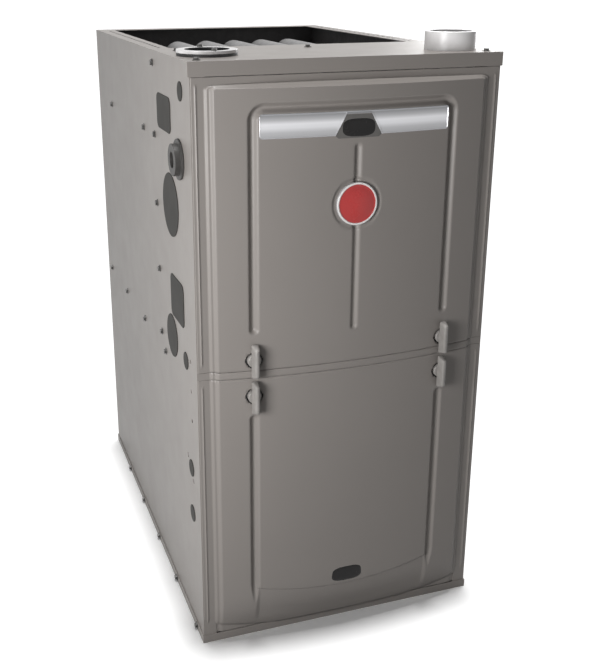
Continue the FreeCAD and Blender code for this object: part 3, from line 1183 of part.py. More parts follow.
# Collector box: the plastic cover on the coil's cold end, with a drain spigot below.
COLLECTOR_Y = "(-casing_depth / 2 + vestibule_depth - collector_depth)"
COLLECTOR_Z = "(coil_bottom - collector_margin)"
collector = box("collector_block", ("-collector_half", COLLECTOR_Y, COLLECTOR_Z),
                ("2 * collector_half", "collector_depth", "coil_height + 2 * collector_margin"))
collector_room = box("collector_room", ("-collector_half + collector_wall",
                                        f"{COLLECTOR_Y} + collector_wall",
                                        f"{COLLECTOR_Z} + collector_wall"),
                     ("2 * collector_half - 2 * collector_wall", "collector_depth - collector_wall",
                      "coil_height + 2 * collector_margin - 2 * collector_wall"))
SPIGOT_END = f"({COLLECTOR_Z} - drain_spigot_height)"
drain = rod("drain_spigot_solid", "drain_spigot", "drain_spigot_height", ("drain_x", DRAIN_Y, SPIGOT_END))
drain_bore = rod("drain_bore", "hose_bore", "drain_spigot_height + collector_wall",
                 ("drain_x", DRAIN_Y, SPIGOT_END))
inducer_port = rod("inducer_port", "inducer_inlet", "collector_wall",
                   ("inducer_x", COLLECTOR_Y, "inducer_height"), "Y")
node("collector_box", cut("collector", join("collector_solid", collector, drain), collector_room,
                          drain_bore,
                          inducer_port))

# Inducer housing: a round volute with a chute up to its outlet spigot.
INDUCER_Y = f"({COLLECTOR_Y} - inducer_depth)"
OUTLET_X = "(inducer_x + inducer_radius - vent_bore)"
OUTLET_Y = f"({INDUCER_Y} + inducer_depth / 2)"
CHUTE_Z = "(inducer_height + outlet_box_height)"
CHUTE_HALF = "vent_bore"


def volute(name, shrink):
    """The volute's drum and chute, shrunk by a wall's thickness."""
    drum = rod(name + "_drum", f"inducer_radius - ({shrink})", f"inducer_depth - 2 * ({shrink})",
               ("inducer_x", f"{INDUCER_Y} + ({shrink})", "inducer_height"), "Y")
    chute = box(name + "_chute",
                (f"{OUTLET_X} - {CHUTE_HALF} + ({shrink})", f"{INDUCER_Y} + ({shrink})", "inducer_height"),
                (f"2 * {CHUTE_HALF} - 2 * ({shrink})", f"inducer_depth - 2 * ({shrink})",
                 f"outlet_box_height - ({shrink})"))
    return join(name, drum, chute)


outlet = rod("outlet", "inducer_depth / 2", f"outlet_top - {CHUTE_Z}", (OUTLET_X, OUTLET_Y, CHUTE_Z))
outlet_bore = rod("outlet_bore", "inducer_depth / 2 - inducer_wall",
                  f"outlet_top - {CHUTE_Z} + inducer_wall",
                  (OUTLET_X, OUTLET_Y, f"{CHUTE_Z} - inducer_wall"))
inlet = rod("inducer_inlet_bore", "inducer_inlet", "inducer_wall",
            ("inducer_x", f"{COLLECTOR_Y} - inducer_wall", "inducer_height"), "Y")
shaft_hole = rod("inducer_shaft_bore", "inducer_shaft_hole", "inducer_wall",
                 ("inducer_x", INDUCER_Y, "inducer_height"), "Y")
node("inducer_housing", cut("inducer_case", join("inducer_solid", volute("volute", "0"), outlet),
                            volute("volute_room", "inducer_wall"), outlet_bore, inlet, shaft_hole))

# Inducer motor: a plain can on a mounting plate against the housing's front.
foot = rod("inducer_foot_plate", "inducer_foot_radius", "inducer_foot",
           ("inducer_x", f"{INDUCER_Y} - inducer_foot", "inducer_height"), "Y")
can = rod("inducer_can", "inducer_motor_radius", "inducer_motor_length",
          ("inducer_x", f"{INDUCER_Y} - inducer_foot - inducer_motor_length", "inducer_height"), "Y")
motor_bore = rod("inducer_motor_bore", "inducer_shaft + shaft_play",
                 "inducer_shaft_reach + inducer_foot + fit_gap",
                 ("inducer_x", f"{INDUCER_Y} - inducer_foot - inducer_shaft_reach - fit_gap",
                  "inducer_height"),
                 "Y")
node("inducer_motor", cut("inducer_motor_case", join("inducer_motor_solid", foot, can), motor_bore))

# Inducer wheel: a plate with straight blades, on its shaft.
WHEEL_Y = f"({INDUCER_Y} + (inducer_depth - inducer_wheel_depth) / 2)"
SHAFT_Y = f"({INDUCER_Y} - inducer_foot - inducer_shaft_reach)"
wheel_disc = rod("inducer_disc", "inducer_wheel_radius", "inducer_blade",
                 ("inducer_x", WHEEL_Y, "inducer_height"), "Y")
wheel_boss = rod("inducer_boss", "inducer_hub", "inducer_wheel_depth",
                 ("inducer_x", WHEEL_Y, "inducer_height"), "Y")
wheel_bar = rod("inducer_bar", "inducer_shaft", f"{WHEEL_Y} + inducer_wheel_depth - {SHAFT_Y}",
                ("inducer_x", SHAFT_Y, "inducer_height"), "Y")
vanes = []
for index in range(count("inducer_blades")):
    vane = Part.makeBox(number("inducer_wheel_radius - inducer_inlet"), number("inducer_wheel_depth"),
                        number("inducer_blade"), spot("inducer_inlet", "0", "-inducer_blade / 2"))
    vane.rotate(Vector(), Vector(0, 1, 0), 360 * index / count("inducer_blades"))
    vane.translate(spot("inducer_x", WHEEL_Y, "inducer_height"))
    vanes.append(vane)
node("inducer_wheel", join("inducer_rotor", wheel_disc, wheel_boss, wheel_bar,
                           made("inducer_vanes", Part.makeCompound(vanes))))

# Vent pipe: from the inducer's outlet up to the coupling, with two bends.
pipe_low = spot(OUTLET_X, OUTLET_Y, "outlet_top")
pipe_high = spot(VENT_X, VENT_Y, f"{LEDGE_TOP} + {stop_low}")
turn_low = spot(OUTLET_X, OUTLET_Y, "outlet_top + vent_first_rise")
turn_high = spot(VENT_X, VENT_Y, f"{LEDGE_TOP} + {vent_low} - vent_last_rise")
pipe_corners = [pipe_low, turn_low, turn_high, pipe_high]
pipe_radius = number("vent_bore - shaft_play")
pipe_bore = number("vent_bore - shaft_play - vent_pipe_wall")
vent_bar = pipe(pipe_corners, number("vent_bend"), pipe_radius)
node("vent_pipe", made("vent_tube", vent_bar.cut(pipe(pipe_corners, number("vent_bend"), pipe_bore))))

# Burner box: a five-sided sheet box against the vestibule panel.
BOX_LOW = "(burner_height - box_below)"
BOX_HEIGHT = "(box_below + box_above)"
BOX_DEPTH = "(vestibule_depth - box_front)"
burner_case = box("burner_case", ("-box_half", inset_y("box_front"), BOX_LOW),
                  ("2 * box_half", BOX_DEPTH, BOX_HEIGHT))
burner_room = box("burner_room", ("-box_half + gauge", inset_y("box_front + gauge"), f"{BOX_LOW} + gauge"),
                  ("2 * box_half - 2 * gauge", f"{BOX_DEPTH} - gauge", f"{BOX_HEIGHT} - 2 * gauge"))
spud_holes = [rod("spud_hole", "spud_radius + fit_gap", "gauge",
                  (across, inset_y("box_front"), "burner_height"), "Y") for across in tube_places]
PROBE_Z = "(burner_height - probe_drop)"
probes = (("igniter", "2 * tube_pitch", "igniter_radius"),
          ("flame_sensor", "-2 * tube_pitch", "sensor_radius"))
probe_holes = [rod("probe_hole", f"{radius} + fit_gap", "gauge", (across, inset_y("box_front"), PROBE_Z),
                   "Y")
               for name, across, radius in probes]
node("burner_box", cut("burner_sheet", burner_case, burner_room, group("spud_holes", *spud_holes),
                       group("probe_holes", *probe_holes)))

# Burners: flanged tubes that fire into the heat-exchanger tubes.
BURNER_Y = inset_y("box_front + gauge + fit_gap")
BURNER_LENGTH = f"({BOX_DEPTH} - gauge - 2 * fit_gap)"
burner_shapes = []
for across in tube_places:
    body = rod("burner_body", "burner_radius", BURNER_LENGTH, (across, BURNER_Y, "burner_height"), "Y")
    flange = rod("burner_flange_disc", "burner_flange", "burner_flange_depth",
                 (across, f"{VESTIBULE} - fit_gap - burner_flange_depth", "burner_height"), "Y")
    bore = rod("burner_bore", "burner_radius - burner_wall", BURNER_LENGTH,
               (across, BURNER_Y, "burner_height"), "Y")
    burner_shapes.append(cut("burner", join("burner_solid", body, flange), bore))
node("burners", group("burner_set", *burner_shapes))

# Igniter and flame sensor: flanged probes through the burner box's front.
for name, across, radius in probes:
    stem = rod(name + "_stem", radius, "probe_front + gauge + probe_reach",
               (across, inset_y("box_front - probe_front"), PROBE_Z), "Y")
    plate = rod(name + "_plate", "probe_flange", "probe_flange_depth",
                (across, inset_y("box_front - probe_flange_depth"), PROBE_Z), "Y")
    node(name, join(name + "_body", stem, plate))

# Limit switches: buttons on the burner box's roof.
limits = [rod("limit", "limit_radius", "limit_height",
              (f"{way} * limit_spread", inset_y("box_front + limit_setback"), f"{BOX_LOW} + {BOX_HEIGHT}"))
          for way in (-1, 0, 1)]
node("limit_switches", group("limits", *limits))

# Gas valve: a block beside the left panel, its inlet in line with the grommet.
VALVE_X = f"(-{HALF} + valve_inset)"
VALVE_Y = inset_y("grommet_inset")
valve_block = box("valve_block", (VALVE_X, f"{VALVE_Y} - valve_depth / 2",
                                  "grommet_height - valve_height / 2"),
                  ("valve_length", "valve_depth", "valve_height"))
inlet_port = rod("inlet_port", "valve_port", "valve_port_length",
                 (f"{VALVE_X} - valve_port_length", VALVE_Y, "grommet_height"), "X")
inlet_thread = rod("inlet_thread", "valve_thread", "valve_port_length",
                   (f"{VALVE_X} - valve_port_length", VALVE_Y, "grommet_height"), "X")
KNOB_X = f"({VALVE_X} + valve_length / 2)"
KNOB_Z = "(grommet_height + valve_knob_rise)"
VALVE_FACE = f"({VALVE_Y} - valve_depth / 2)"
knob_bore = rod("valve_knob_bore", "valve_knob_shaft + shaft_play", "valve_knob_reach + fit_gap",
                (KNOB_X, VALVE_FACE, KNOB_Z), "Y")
node("gas_valve", cut("valve", join("valve_solid", valve_block, inlet_port), inlet_thread, knob_bore))

# Gas valve knob: on and off, a quarter turn apart.
knob_head = rod("valve_knob_head", "valve_knob_radius", "valve_knob_height",
                (KNOB_X, f"{VALVE_FACE} - fit_gap - valve_knob_height", KNOB_Z), "Y")
knob_ridge = box("valve_knob_grip", (f"{KNOB_X} - valve_knob_ridge / 2",
                                     f"{VALVE_FACE} - fit_gap - valve_knob_height - valve_knob_ridge",
                                     f"{KNOB_Z} - valve_knob_radius + valve_knob_ridge / 2"),
                 ("valve_knob_ridge", "2 * valve_knob_ridge", "2 * valve_knob_radius - valve_knob_ridge"))
knob_stem = rod("valve_knob_stem", "valve_knob_shaft", "fit_gap + valve_knob_reach",
                (KNOB_X, f"{VALVE_FACE} - fit_gap", KNOB_Z), "Y")
node("gas_valve_knob", join("valve_knob", knob_head, knob_ridge, knob_stem))

# Gas manifold: a riser from the valve and a cross pipe with one spud for each burner.
MANIFOLD_Y = inset_y("manifold_inset")
RISER_X = f"({VALVE_X} + valve_length + riser_step)"
riser_corners = [spot(f"{VALVE_X} + valve_length", VALVE_Y, "grommet_height"),
                 spot(RISER_X, VALVE_Y, "grommet_height"), spot(RISER_X, MANIFOLD_Y, "grommet_height"),
                 spot(RISER_X, MANIFOLD_Y, "burner_height")]
riser = made("riser", pipe(riser_corners, number("riser_bend"), number("riser_radius")))
SPAN = "(tube_span + manifold_overrun)"
cross_pipe = rod("cross_pipe", "manifold_radius", f"2 * {SPAN}",
                 (f"-{SPAN}", MANIFOLD_Y, "burner_height"), "X")
spuds = [rod("spud", "spud_radius", "box_front - manifold_inset + gauge",
             (across, MANIFOLD_Y, "burner_height"), "Y") for across in tube_places]
spud_bores = [rod("spud_drill", "spud_bore", "box_front - manifold_inset + gauge",
                  (across, MANIFOLD_Y, "burner_height"), "Y") for across in tube_places]
node("gas_manifold", cut("manifold", join("manifold_solid", cross_pipe, riser, *spuds),
                         group("spud_drills", *spud_bores)))

# Pressure switch: a round diaphragm switch on the vestibule panel, with a hose port.
diaphragm = rod("diaphragm", "pressure_radius", "pressure_depth",
                ("pressure_x", f"{VESTIBULE} - pressure_depth", "pressure_height"), "Y")
port = rod("pressure_port_tube", "pressure_port", "pressure_port_length",
           ("pressure_x", f"{VESTIBULE} - pressure_depth - pressure_port_length", "pressure_height"), "Y")
node("pressure_switch", join("pressure_body", diaphragm, port))

# Blower housing: a scroll about the blower axis, open at both sides and through the deck.
SCROLL_MIDDLE = Vector(0, number("blower_y"), number("blower_height"))


def scroll_point(share, shrink):
    """A point of the scroll, from its cutoff (0) round below the axis to its outlet side (1)."""
    cutoff = math.radians(number("scroll_cutoff"))
    angle = cutoff - share * (cutoff + math.pi)
    radius = number("scroll_start") + share * number("scroll_end - scroll_start") - shrink
    return SCROLL_MIDDLE + Vector(0, math.cos(angle), math.sin(angle)) * radius


def scroll_block(half, shrink, roof):
    """The scroll's outline as a solid of some half width, up to a roof."""
    edges = []
    spans = 4
    for span in range(spans):
        points = [scroll_point((span + part / 2) / spans, shrink) for part in range(3)]
        edges.append(Part.Arc(*points).toShape())
    first = scroll_point(0, shrink)
    last = scroll_point(1, shrink)
    wall = Vector(0, first.y, roof)
    outlet_corner = Vector(0, last.y, roof)
    edges += [Part.makeLine(last, outlet_corner), Part.makeLine(outlet_corner, wall),
              Part.makeLine(wall, first)]
    solid = Part.Face(Part.Wire(edges)).extrude(Vector(2 * half, 0, 0))
    solid.translate(Vector(-half, 0, 0))
    return solid


deck_under = number(DECK_UNDER)
scroll = made("scroll", scroll_block(number("blower_half"), 0, deck_under))
scroll_room = made("scroll_room", scroll_block(number("blower_half - gauge"), number("gauge"), deck_under))
inlets = rod("inlets", "inlet_radius", "2 * blower_half", ("-blower_half", "blower_y", "blower_height"),
             "X")
node("blower_housing", cut("blower_case", scroll, scroll_room, inlets))

# Blower wheel: two rows of blades between end rings, on a middle plate with a hub.
wheel_body = doc.addObject("PartDesign::Body", "wheel_body")
wheel_body.AllowCompound = True
blade_sketch = outline(wheel_body, "blade_section", "XY_Plane", (
    ("blower_wheel_radius - blade_depth", "-blade_thickness / 2"),
    ("blower_wheel_radius", "-blade_thickness / 2"), ("blower_wheel_radius", "blade_thickness / 2"),
    ("blower_wheel_radius - blade_depth", "blade_thickness / 2")))
blade = wheel_body.newObject("PartDesign::Pad", "blade")
blade.Profile = blade_sketch
bind(blade, Length="2 * blower_wheel_half")
blades = wheel_body.newObject("PartDesign::PolarPattern", "blades")
blades.Originals = [blade]
blades.Axis = (blade_sketch, ["N_Axis"])
blades.Angle = 360
bind(blades, Occurrences="blade_count")
wheel_body.Tip = blades
place(wheel_body, ("-blower_wheel_half", "blower_y", "blower_height"), "X")
rings = [ring("wheel_ring_band", "blower_wheel_radius", "blower_wheel_radius - blade_depth", "wheel_ring",
              (low, "blower_y", "blower_height"), "X")
         for low in ("-blower_wheel_half", "blower_wheel_half - wheel_ring")]
wheel_plate = rod("wheel_plate_disc", "blower_wheel_radius", "wheel_plate",
                  ("-wheel_plate", "blower_y", "blower_height"), "X")
wheel_hub = rod("wheel_hub_boss", "wheel_hub", "wheel_hub_length",
                ("-wheel_hub_length", "blower_y", "blower_height"), "X")
hub_bore = rod("hub_bore", "blower_shaft", "wheel_hub_length",
               ("-wheel_hub_length", "blower_y", "blower_height"), "X")
node("blower_wheel", cut("wheel", join("wheel_solid", wheel_body, wheel_plate, wheel_hub, *rings),
                         hub_bore))
node("blower_shaft", rod("shaft", "blower_shaft", "wheel_hub_length + motor_gap + shaft_reach",
                         ("-wheel_hub_length", "blower_y", "blower_height"), "X"))

# Blower motor: hangs in the right inlet on a band with three arms.
motor_can = rod("motor_can", "motor_radius", "motor_length", ("motor_gap", "blower_y", "blower_height"),
                "X")
motor_socket = rod("motor_socket", "blower_shaft + shaft_play", "shaft_reach + fit_gap",
                   ("motor_gap", "blower_y", "blower_height"), "X")
node("blower_motor", cut("motor", motor_can, motor_socket))
band = ring("band", "motor_radius + band_thickness", "motor_radius", "band_width",
            ("blower_half", "blower_y", "blower_height"), "X")
arms = []
for index in range(count("arm_count")):
    arm = Part.makeBox(number("band_thickness"), number("arm_width"),
                       number("inlet_radius + arm_overlap - motor_radius - band_thickness / 2"),
                       spot("0", "-arm_width / 2", "motor_radius + band_thickness / 2"))
    arm.rotate(Vector(), Vector(1, 0, 0), 360 * index / count("arm_count"))
    arm.translate(spot("blower_half", "blower_y", "blower_height"))
    arms.append(arm)
arm_set = cut("arms", made("arm_bars", Part.makeCompound(arms)),
              rod("arm_bore", "motor_radius", "band_width", ("blower_half", "blower_y", "blower_height"),
                  "X"))
node("motor_bracket", join("bracket", band, arm_set))

# Control panel: a plate hung from the blower deck in front of the blower.
PANEL_Y = inset_y("panel_inset")
PANEL_Z = f"({DECK_UNDER} - panel_height)"
panel_plate = box("panel_plate", ("panel_left", PANEL_Y, PANEL_Z), ("panel_width", "gauge", "panel_height"))
panel_top = box("panel_top", ("panel_left", PANEL_Y, f"{DECK_UNDER} - gauge"),
                ("panel_width", "panel_flange", "gauge"))
node("control_panel", join("panel", panel_plate, panel_top))

# Control board on posts, with its relays, terminal strip and fuse.
BOARD_X = "(panel_left + panel_width - board_margin - board_width)"
BOARD_Y = f"({PANEL_Y} - post_height - board_thickness)"
BOARD_Z = f"({PANEL_Z} + board_margin)"
board = box("board_plate", (BOARD_X, BOARD_Y, BOARD_Z), ("board_width", "board_thickness", "board_height"))
posts = [rod("post", "post_radius", "post_height",
             (f"{BOARD_X} + {across}", f"{PANEL_Y} - post_height", f"{BOARD_Z} + {up}"), "Y")
         for across in ("post_inset", "board_width - post_inset")
         for up in ("post_inset", "board_height - post_inset")]
node("control_board", join("board", board, *posts))
relays = [box("relay", (f"{BOARD_X} + board_margin + {index} * (relay_size + post_inset)",
                        f"{BOARD_Y} - relay_height",
                        f"{BOARD_Z} + board_height - board_margin - relay_size"),
              ("relay_size", "relay_height", "relay_size")) for index in range(count("relay_count"))]
terminals = box("terminals",
                (f"{BOARD_X} + board_margin", f"{BOARD_Y} - terminal_height", f"{BOARD_Z} + board_margin"),
                ("terminal_width", "terminal_height", "terminal_height"))
fuse = box("fuse", (f"{BOARD_X} + board_margin", f"{BOARD_Y} - fuse_height",
                    f"{BOARD_Z} + board_height / 2 - fuse_height"), ("fuse_width", "fuse_height",
                                                                     "fuse_height"))
node("board_components", group("components", *relays, terminals, fuse))

# Transformer: a laminated core on the control panel, its winding in front.
CORE_X = "(panel_left + (panel_width - board_width - board_margin - core_width) / 2)"
CORE_Z = f"({PANEL_Z} + board_margin)"
core = box("core", (CORE_X, f"{PANEL_Y} - core_depth", CORE_Z), ("core_width", "core_depth", "core_height"))
winding = box("winding",
              (f"{CORE_X} + (core_width - winding_size) / 2", f"{PANEL_Y} - core_depth - winding_depth",
               f"{CORE_Z} + (core_height - winding_size) / 2"), ("winding_size", "winding_depth",
                                                                 "winding_size"))
node("transformer", group("transformer_parts", core, winding))

# Junction box: a covered box on the left panel for the supply wiring.
junction = box("junction", (f"-{HALF} + gauge", inset_y("junction_inset"), "junction_bottom"),
               ("junction_width", "junction_depth", "junction_height"))
junction_room = box("junction_room",
                    (f"-{HALF} + gauge", inset_y("junction_inset + gauge"), "junction_bottom + gauge"),
                    ("junction_width - gauge", "junction_depth - 2 * gauge", "junction_height - 2 * gauge"))
node("junction_box", cut("junction_case", junction, junction_room))

# Condensate trap: a plastic box on the left panel, with the drain hose's spigot on top.
TRAP_X = f"(-{HALF} + gauge)"
SPIGOT_X = f"({TRAP_X} + trap_width / 2)"
SPIGOT_Y = inset_y("trap_inset + trap_depth / 2")
TRAP_TOP = "(trap_bottom + trap_height)"
trap = box("trap_block", (TRAP_X, inset_y("trap_inset"), "trap_bottom"),
           ("trap_width", "trap_depth", "trap_height"))
trap_spigot = rod("trap_spigot", "hose_radius", "trap_spigot_height", (SPIGOT_X, SPIGOT_Y, TRAP_TOP))
node("condensate_trap", join("trap", trap, trap_spigot))

# Drain hose: from the collector's spigot through the deck and down into the trap.
hose_low = f"({SPIGOT_END} - hose_drop)"
hose_corners = [spot("drain_x", DRAIN_Y, SPIGOT_END), spot("drain_x", DRAIN_Y, hose_low),
                spot(SPIGOT_X, SPIGOT_Y, f"{hose_low} - hose_fall"),
                spot(SPIGOT_X, SPIGOT_Y, f"{TRAP_TOP} + trap_spigot_height")]
hose_bar = pipe(hose_corners, number("hose_bend"), number("hose_radius"))
node("drain_hose", made("hose", hose_bar.cut(pipe(hose_corners, number("hose_bend"), number("hose_bore")))))

doc.recompute()
for obj in doc.Objects:
    if "Invalid" in obj.State or "Error" in obj.State:
        raise RuntimeError("failed feature: " + obj.Name)
for obj in nodes:
    if obj.Shape.isNull() or not obj.Shape.isValid() or not obj.Shape.Solids:
        raise RuntimeError("bad shape: " + obj.Label)
os.makedirs("parts", exist_ok=True)
for obj in nodes:
    obj.Shape.exportStep("parts/%s.step" % obj.Label)
print(len(nodes), "nodes,", sum(len(obj.Shape.Solids) for obj in nodes), "solids")
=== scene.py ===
from math import hypot, pi, radians, sqrt

import bmesh
import bpy
from mathutils import Matrix, Vector


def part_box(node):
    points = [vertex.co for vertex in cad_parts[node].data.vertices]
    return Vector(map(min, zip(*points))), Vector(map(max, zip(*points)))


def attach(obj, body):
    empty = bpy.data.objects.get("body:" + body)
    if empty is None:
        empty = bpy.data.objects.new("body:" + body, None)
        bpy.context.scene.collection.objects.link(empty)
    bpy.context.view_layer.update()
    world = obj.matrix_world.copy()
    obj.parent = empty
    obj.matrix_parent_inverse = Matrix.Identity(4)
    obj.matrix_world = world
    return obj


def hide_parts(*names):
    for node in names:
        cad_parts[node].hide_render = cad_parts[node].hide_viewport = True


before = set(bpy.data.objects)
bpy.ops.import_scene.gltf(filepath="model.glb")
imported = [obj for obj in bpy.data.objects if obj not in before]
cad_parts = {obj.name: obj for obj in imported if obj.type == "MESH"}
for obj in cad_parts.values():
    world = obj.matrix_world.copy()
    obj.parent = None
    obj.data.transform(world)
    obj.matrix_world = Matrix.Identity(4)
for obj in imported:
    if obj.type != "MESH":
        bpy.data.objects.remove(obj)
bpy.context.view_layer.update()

# Base pan: the shallow painted tray that the whole cabinet stands on.
# Folded from steel sheet, with its four walls turned up and screwed to the panels.
# The folds are slightly rounded, as a press brake leaves them.
SHEET_FOLD = 0.0004


def finish(name, colour, roughness, metallic=0.0):
    """A new finish with its even values set, and the parts of its node tree."""
    material = bpy.data.materials.new(name)
    material.use_nodes = True
    nodes, links = material.node_tree.nodes, material.node_tree.links
    shader = nodes["Principled BSDF"]
    shader.inputs["Base Color"].default_value = (*colour, 1)
    shader.inputs["Roughness"].default_value = roughness
    shader.inputs["Metallic"].default_value = metallic
    return material, nodes, links, shader


def mottle(nodes, links, scale, detail=3.0, stretch=(1, 1, 1)):
    """A soft noise over the piece, in its own place in metres."""
    place = nodes.new("ShaderNodeTexCoord")
    turn = nodes.new("ShaderNodeMapping")
    turn.inputs["Scale"].default_value = stretch
    noise = nodes.new("ShaderNodeTexNoise")
    noise.inputs["Scale"].default_value = scale
    noise.inputs["Detail"].default_value = detail
    links.new(place.outputs["Object"], turn.inputs["Vector"])
    links.new(turn.outputs["Vector"], noise.inputs["Vector"])
    return noise.outputs["Fac"]


def shades(nodes, links, factor, dark, light, target, low=0.35, high=0.65):
    """The factor spread between two shades and led to a socket of the shader."""
    ramp = nodes.new("ShaderNodeValToRGB")
    ramp.color_ramp.elements[0].position = low
    ramp.color_ramp.elements[0].color = (*dark, 1)
    ramp.color_ramp.elements[1].position = high
    ramp.color_ramp.elements[1].color = (*light, 1)
    links.new(factor, ramp.inputs["Fac"])
    links.new(ramp.outputs["Color"], target)


def spread(nodes, links, factor, low, high, target):
    """The factor spread between two numbers and led to a socket of the shader."""
    span = nodes.new("ShaderNodeMapRange")
    span.inputs["From Min"].default_value = 0.3
    span.inputs["From Max"].default_value = 0.7
    span.inputs["To Min"].default_value = low
    span.inputs["To Max"].default_value = high
    links.new(factor, span.inputs["Value"])
    links.new(span.outputs["Result"], target)


def texture_relief(nodes, links, shader, factor, strength, depth):
    """A fine relief of the surface, a given depth in metres."""
    bump = nodes.new("ShaderNodeBump")
    bump.inputs["Strength"].default_value = strength
    bump.inputs["Distance"].default_value = depth
    links.new(factor, bump.inputs["Height"])
    links.new(bump.outputs["Normal"], shader.inputs["Normal"])


def baked_enamel(name, dark, light, shine=0.32):
    """Warm grey baked enamel: faint clouding, an orange-peel skin and a soft shine."""
    material, nodes, links, shader = finish(name, light, 0.42)
    shader.inputs["Specular IOR Level"].default_value = shine
    clouds = mottle(nodes, links, 4.0, 4.0)
    shades(nodes, links, clouds, dark, light, shader.inputs["Base Color"])
    spread(nodes, links, mottle(nodes, links, 25.0), 0.40, 0.45, shader.inputs["Roughness"])
    texture_relief(nodes, links, shader, mottle(nodes, links, 450.0, 1.0), 0.03, 0.0001)
    return material


enamel = baked_enamel("warm_grey_enamel", (0.231, 0.212, 0.198), (0.242, 0.222, 0.207))


def put_in_scene(name, data):
    """A new object of the scene."""
    thing = bpy.data.objects.new(name, data)
    bpy.context.scene.collection.objects.link(thing)
    return thing


def add_piece(name, bm, body, material, nodes=(), smooth=35):
    """A finished mesh as a piece that rides on its body and stands for its nodes."""
    mesh = bpy.data.meshes.new(name)
    bm.to_mesh(mesh)
    bm.free()
    mesh.materials.append(material)
    mesh.shade_smooth()
    mesh.set_sharp_from_angle(angle=radians(smooth))
    piece = put_in_scene(name, mesh)
    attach(piece, body)
    if nodes:
        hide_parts(*nodes)
    return piece


def round_edges(bm, edges, rounding, steps, clamp=False):
    """Some edges of a mesh rounded off."""
    bmesh.ops.bevel(bm, geom=edges, offset=rounding, offset_type="OFFSET", segments=steps, profile=0.5,
                    affect="EDGES", clamp_overlap=clamp, material=-1)


def rounded_copy(node, material, rounding):
    """A copy of a node on the cabinet with its edges and folds slightly rounded."""
    bm = bmesh.new()
    bm.from_mesh(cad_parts[node].data)
    bmesh.ops.remove_doubles(bm, verts=bm.verts[:], dist=1e-6)
    bmesh.ops.dissolve_limit(bm, angle_limit=radians(1), verts=bm.verts[:], edges=bm.edges[:])
    edges = [edge for edge in bm.edges if edge.calc_face_angle(0) > radians(35)]
    round_edges(bm, edges, rounding, 2, True)
    copy = add_piece(node + "_finished", bm, "cabinet", material, [node])
    flats = copy.modifiers.new("flat_faces", "WEIGHTED_NORMAL")
    flats.weight = 100
    flats.keep_sharp = True
    return copy


def dress(material, *nodes):
    """The nodes whose shape is right keep it and take the finish."""
    for name in nodes:
        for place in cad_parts[name].material_slots:
            place.material = material


rounded_copy("base_pan", enamel, SHEET_FOLD)

# Side and back panels: the casing's three walls, folded from one gauge of steel sheet.
# They are screwed to the base pan and to each other through their flanges.
# They carry the same baked enamel as the doors.
for wall in ("left_panel", "right_panel", "back_panel"):
    rounded_copy(wall, enamel, SHEET_FOLD)

# Knockout plugs: thin discs and oblongs that an installer breaks out of the side panels.
# Stamped from the sheet; they carry the wall's enamel darkened as painted shade, with almost no shine,
# so that they read darker than the wall.
# A darker copy of the wall's enamel: painted shade on the plugs.
painted_shade_enamel = baked_enamel("painted_shade_enamel", (0.034, 0.033, 0.030), (0.041, 0.039, 0.036), 0.02)
rounded_copy("knockout_plugs", painted_shade_enamel, rounding=0.0003)

# Top plate: the front ledge of the casing, with its lip turned down over the doors.
# One folded sheet with openings for the vent and the air collar.
rounded_copy("top_plate", enamel, rounding=0.0005)

# Cabinet screws: hex washer-head sheet-metal screws in every seam of the casing.
# Zinc-plated steel, slightly dulled.
zinc, nodes, links, shader = finish("dull_zinc", (0.12, 0.118, 0.115), 0.42, 1.0)
shades(nodes, links, mottle(nodes, links, 300.0), (0.085, 0.083, 0.08), (0.15, 0.148, 0.145),
       shader.inputs["Base Color"])
spread(nodes, links, mottle(nodes, links, 900.0), 0.36, 0.52, shader.inputs["Roughness"])
dress(zinc, "cabinet_screws")

# Wall insulation: dark faced fibre boards against the walls of the heat section.
# The facing is matt and slightly crumpled.
lining, nodes, links, shader = finish("dark_lining", (0.027, 0.0255, 0.0255), 0.72)
shades(nodes, links, mottle(nodes, links, 45.0, 5.0), (0.019, 0.018, 0.018), (0.035, 0.033, 0.033),
       shader.inputs["Base Color"])
texture_relief(nodes, links, shader, mottle(nodes, links, 140.0, 4.0), 0.5, 0.0015)
dress(lining, "wall_insulation")

# Heat exchanger: six bent tubes of aluminised steel and the header that joins their ends.
# The aluminium coat is grey and matt, and faintly mottled.
aluminised, nodes, links, shader = finish("aluminised_steel", (0.22, 0.216, 0.216), 0.46, 0.35)
shades(nodes, links, mottle(nodes, links, 38.0, 4.0), (0.19, 0.187, 0.187), (0.23, 0.226, 0.226),
       shader.inputs["Base Color"])
spread(nodes, links, mottle(nodes, links, 160.0), 0.38, 0.55, shader.inputs["Roughness"])
texture_relief(nodes, links, shader, mottle(nodes, links, 500.0), 0.1, 0.0002)
dress(aluminised, "primary_tubes", "rear_header")

# Secondary coil: a block of aluminium fins that cools the flue gas until it condenses.
# Bright metal with fine level streaks and ribs.
fins, nodes, links, shader = finish("fin_aluminium", (0.58, 0.59, 0.60), 0.34, 0.9)
streaks = mottle(nodes, links, 30.0, 3.0, (1, 1, 12))
shades(nodes, links, streaks, (0.46, 0.47, 0.48), (0.64, 0.65, 0.66), shader.inputs["Base Color"])
ribs = mottle(nodes, links, 120.0, 2.0, (1, 1, 20))
texture_relief(nodes, links, shader, ribs, 0.2, 0.0003)
dress(fins, "secondary_coil")

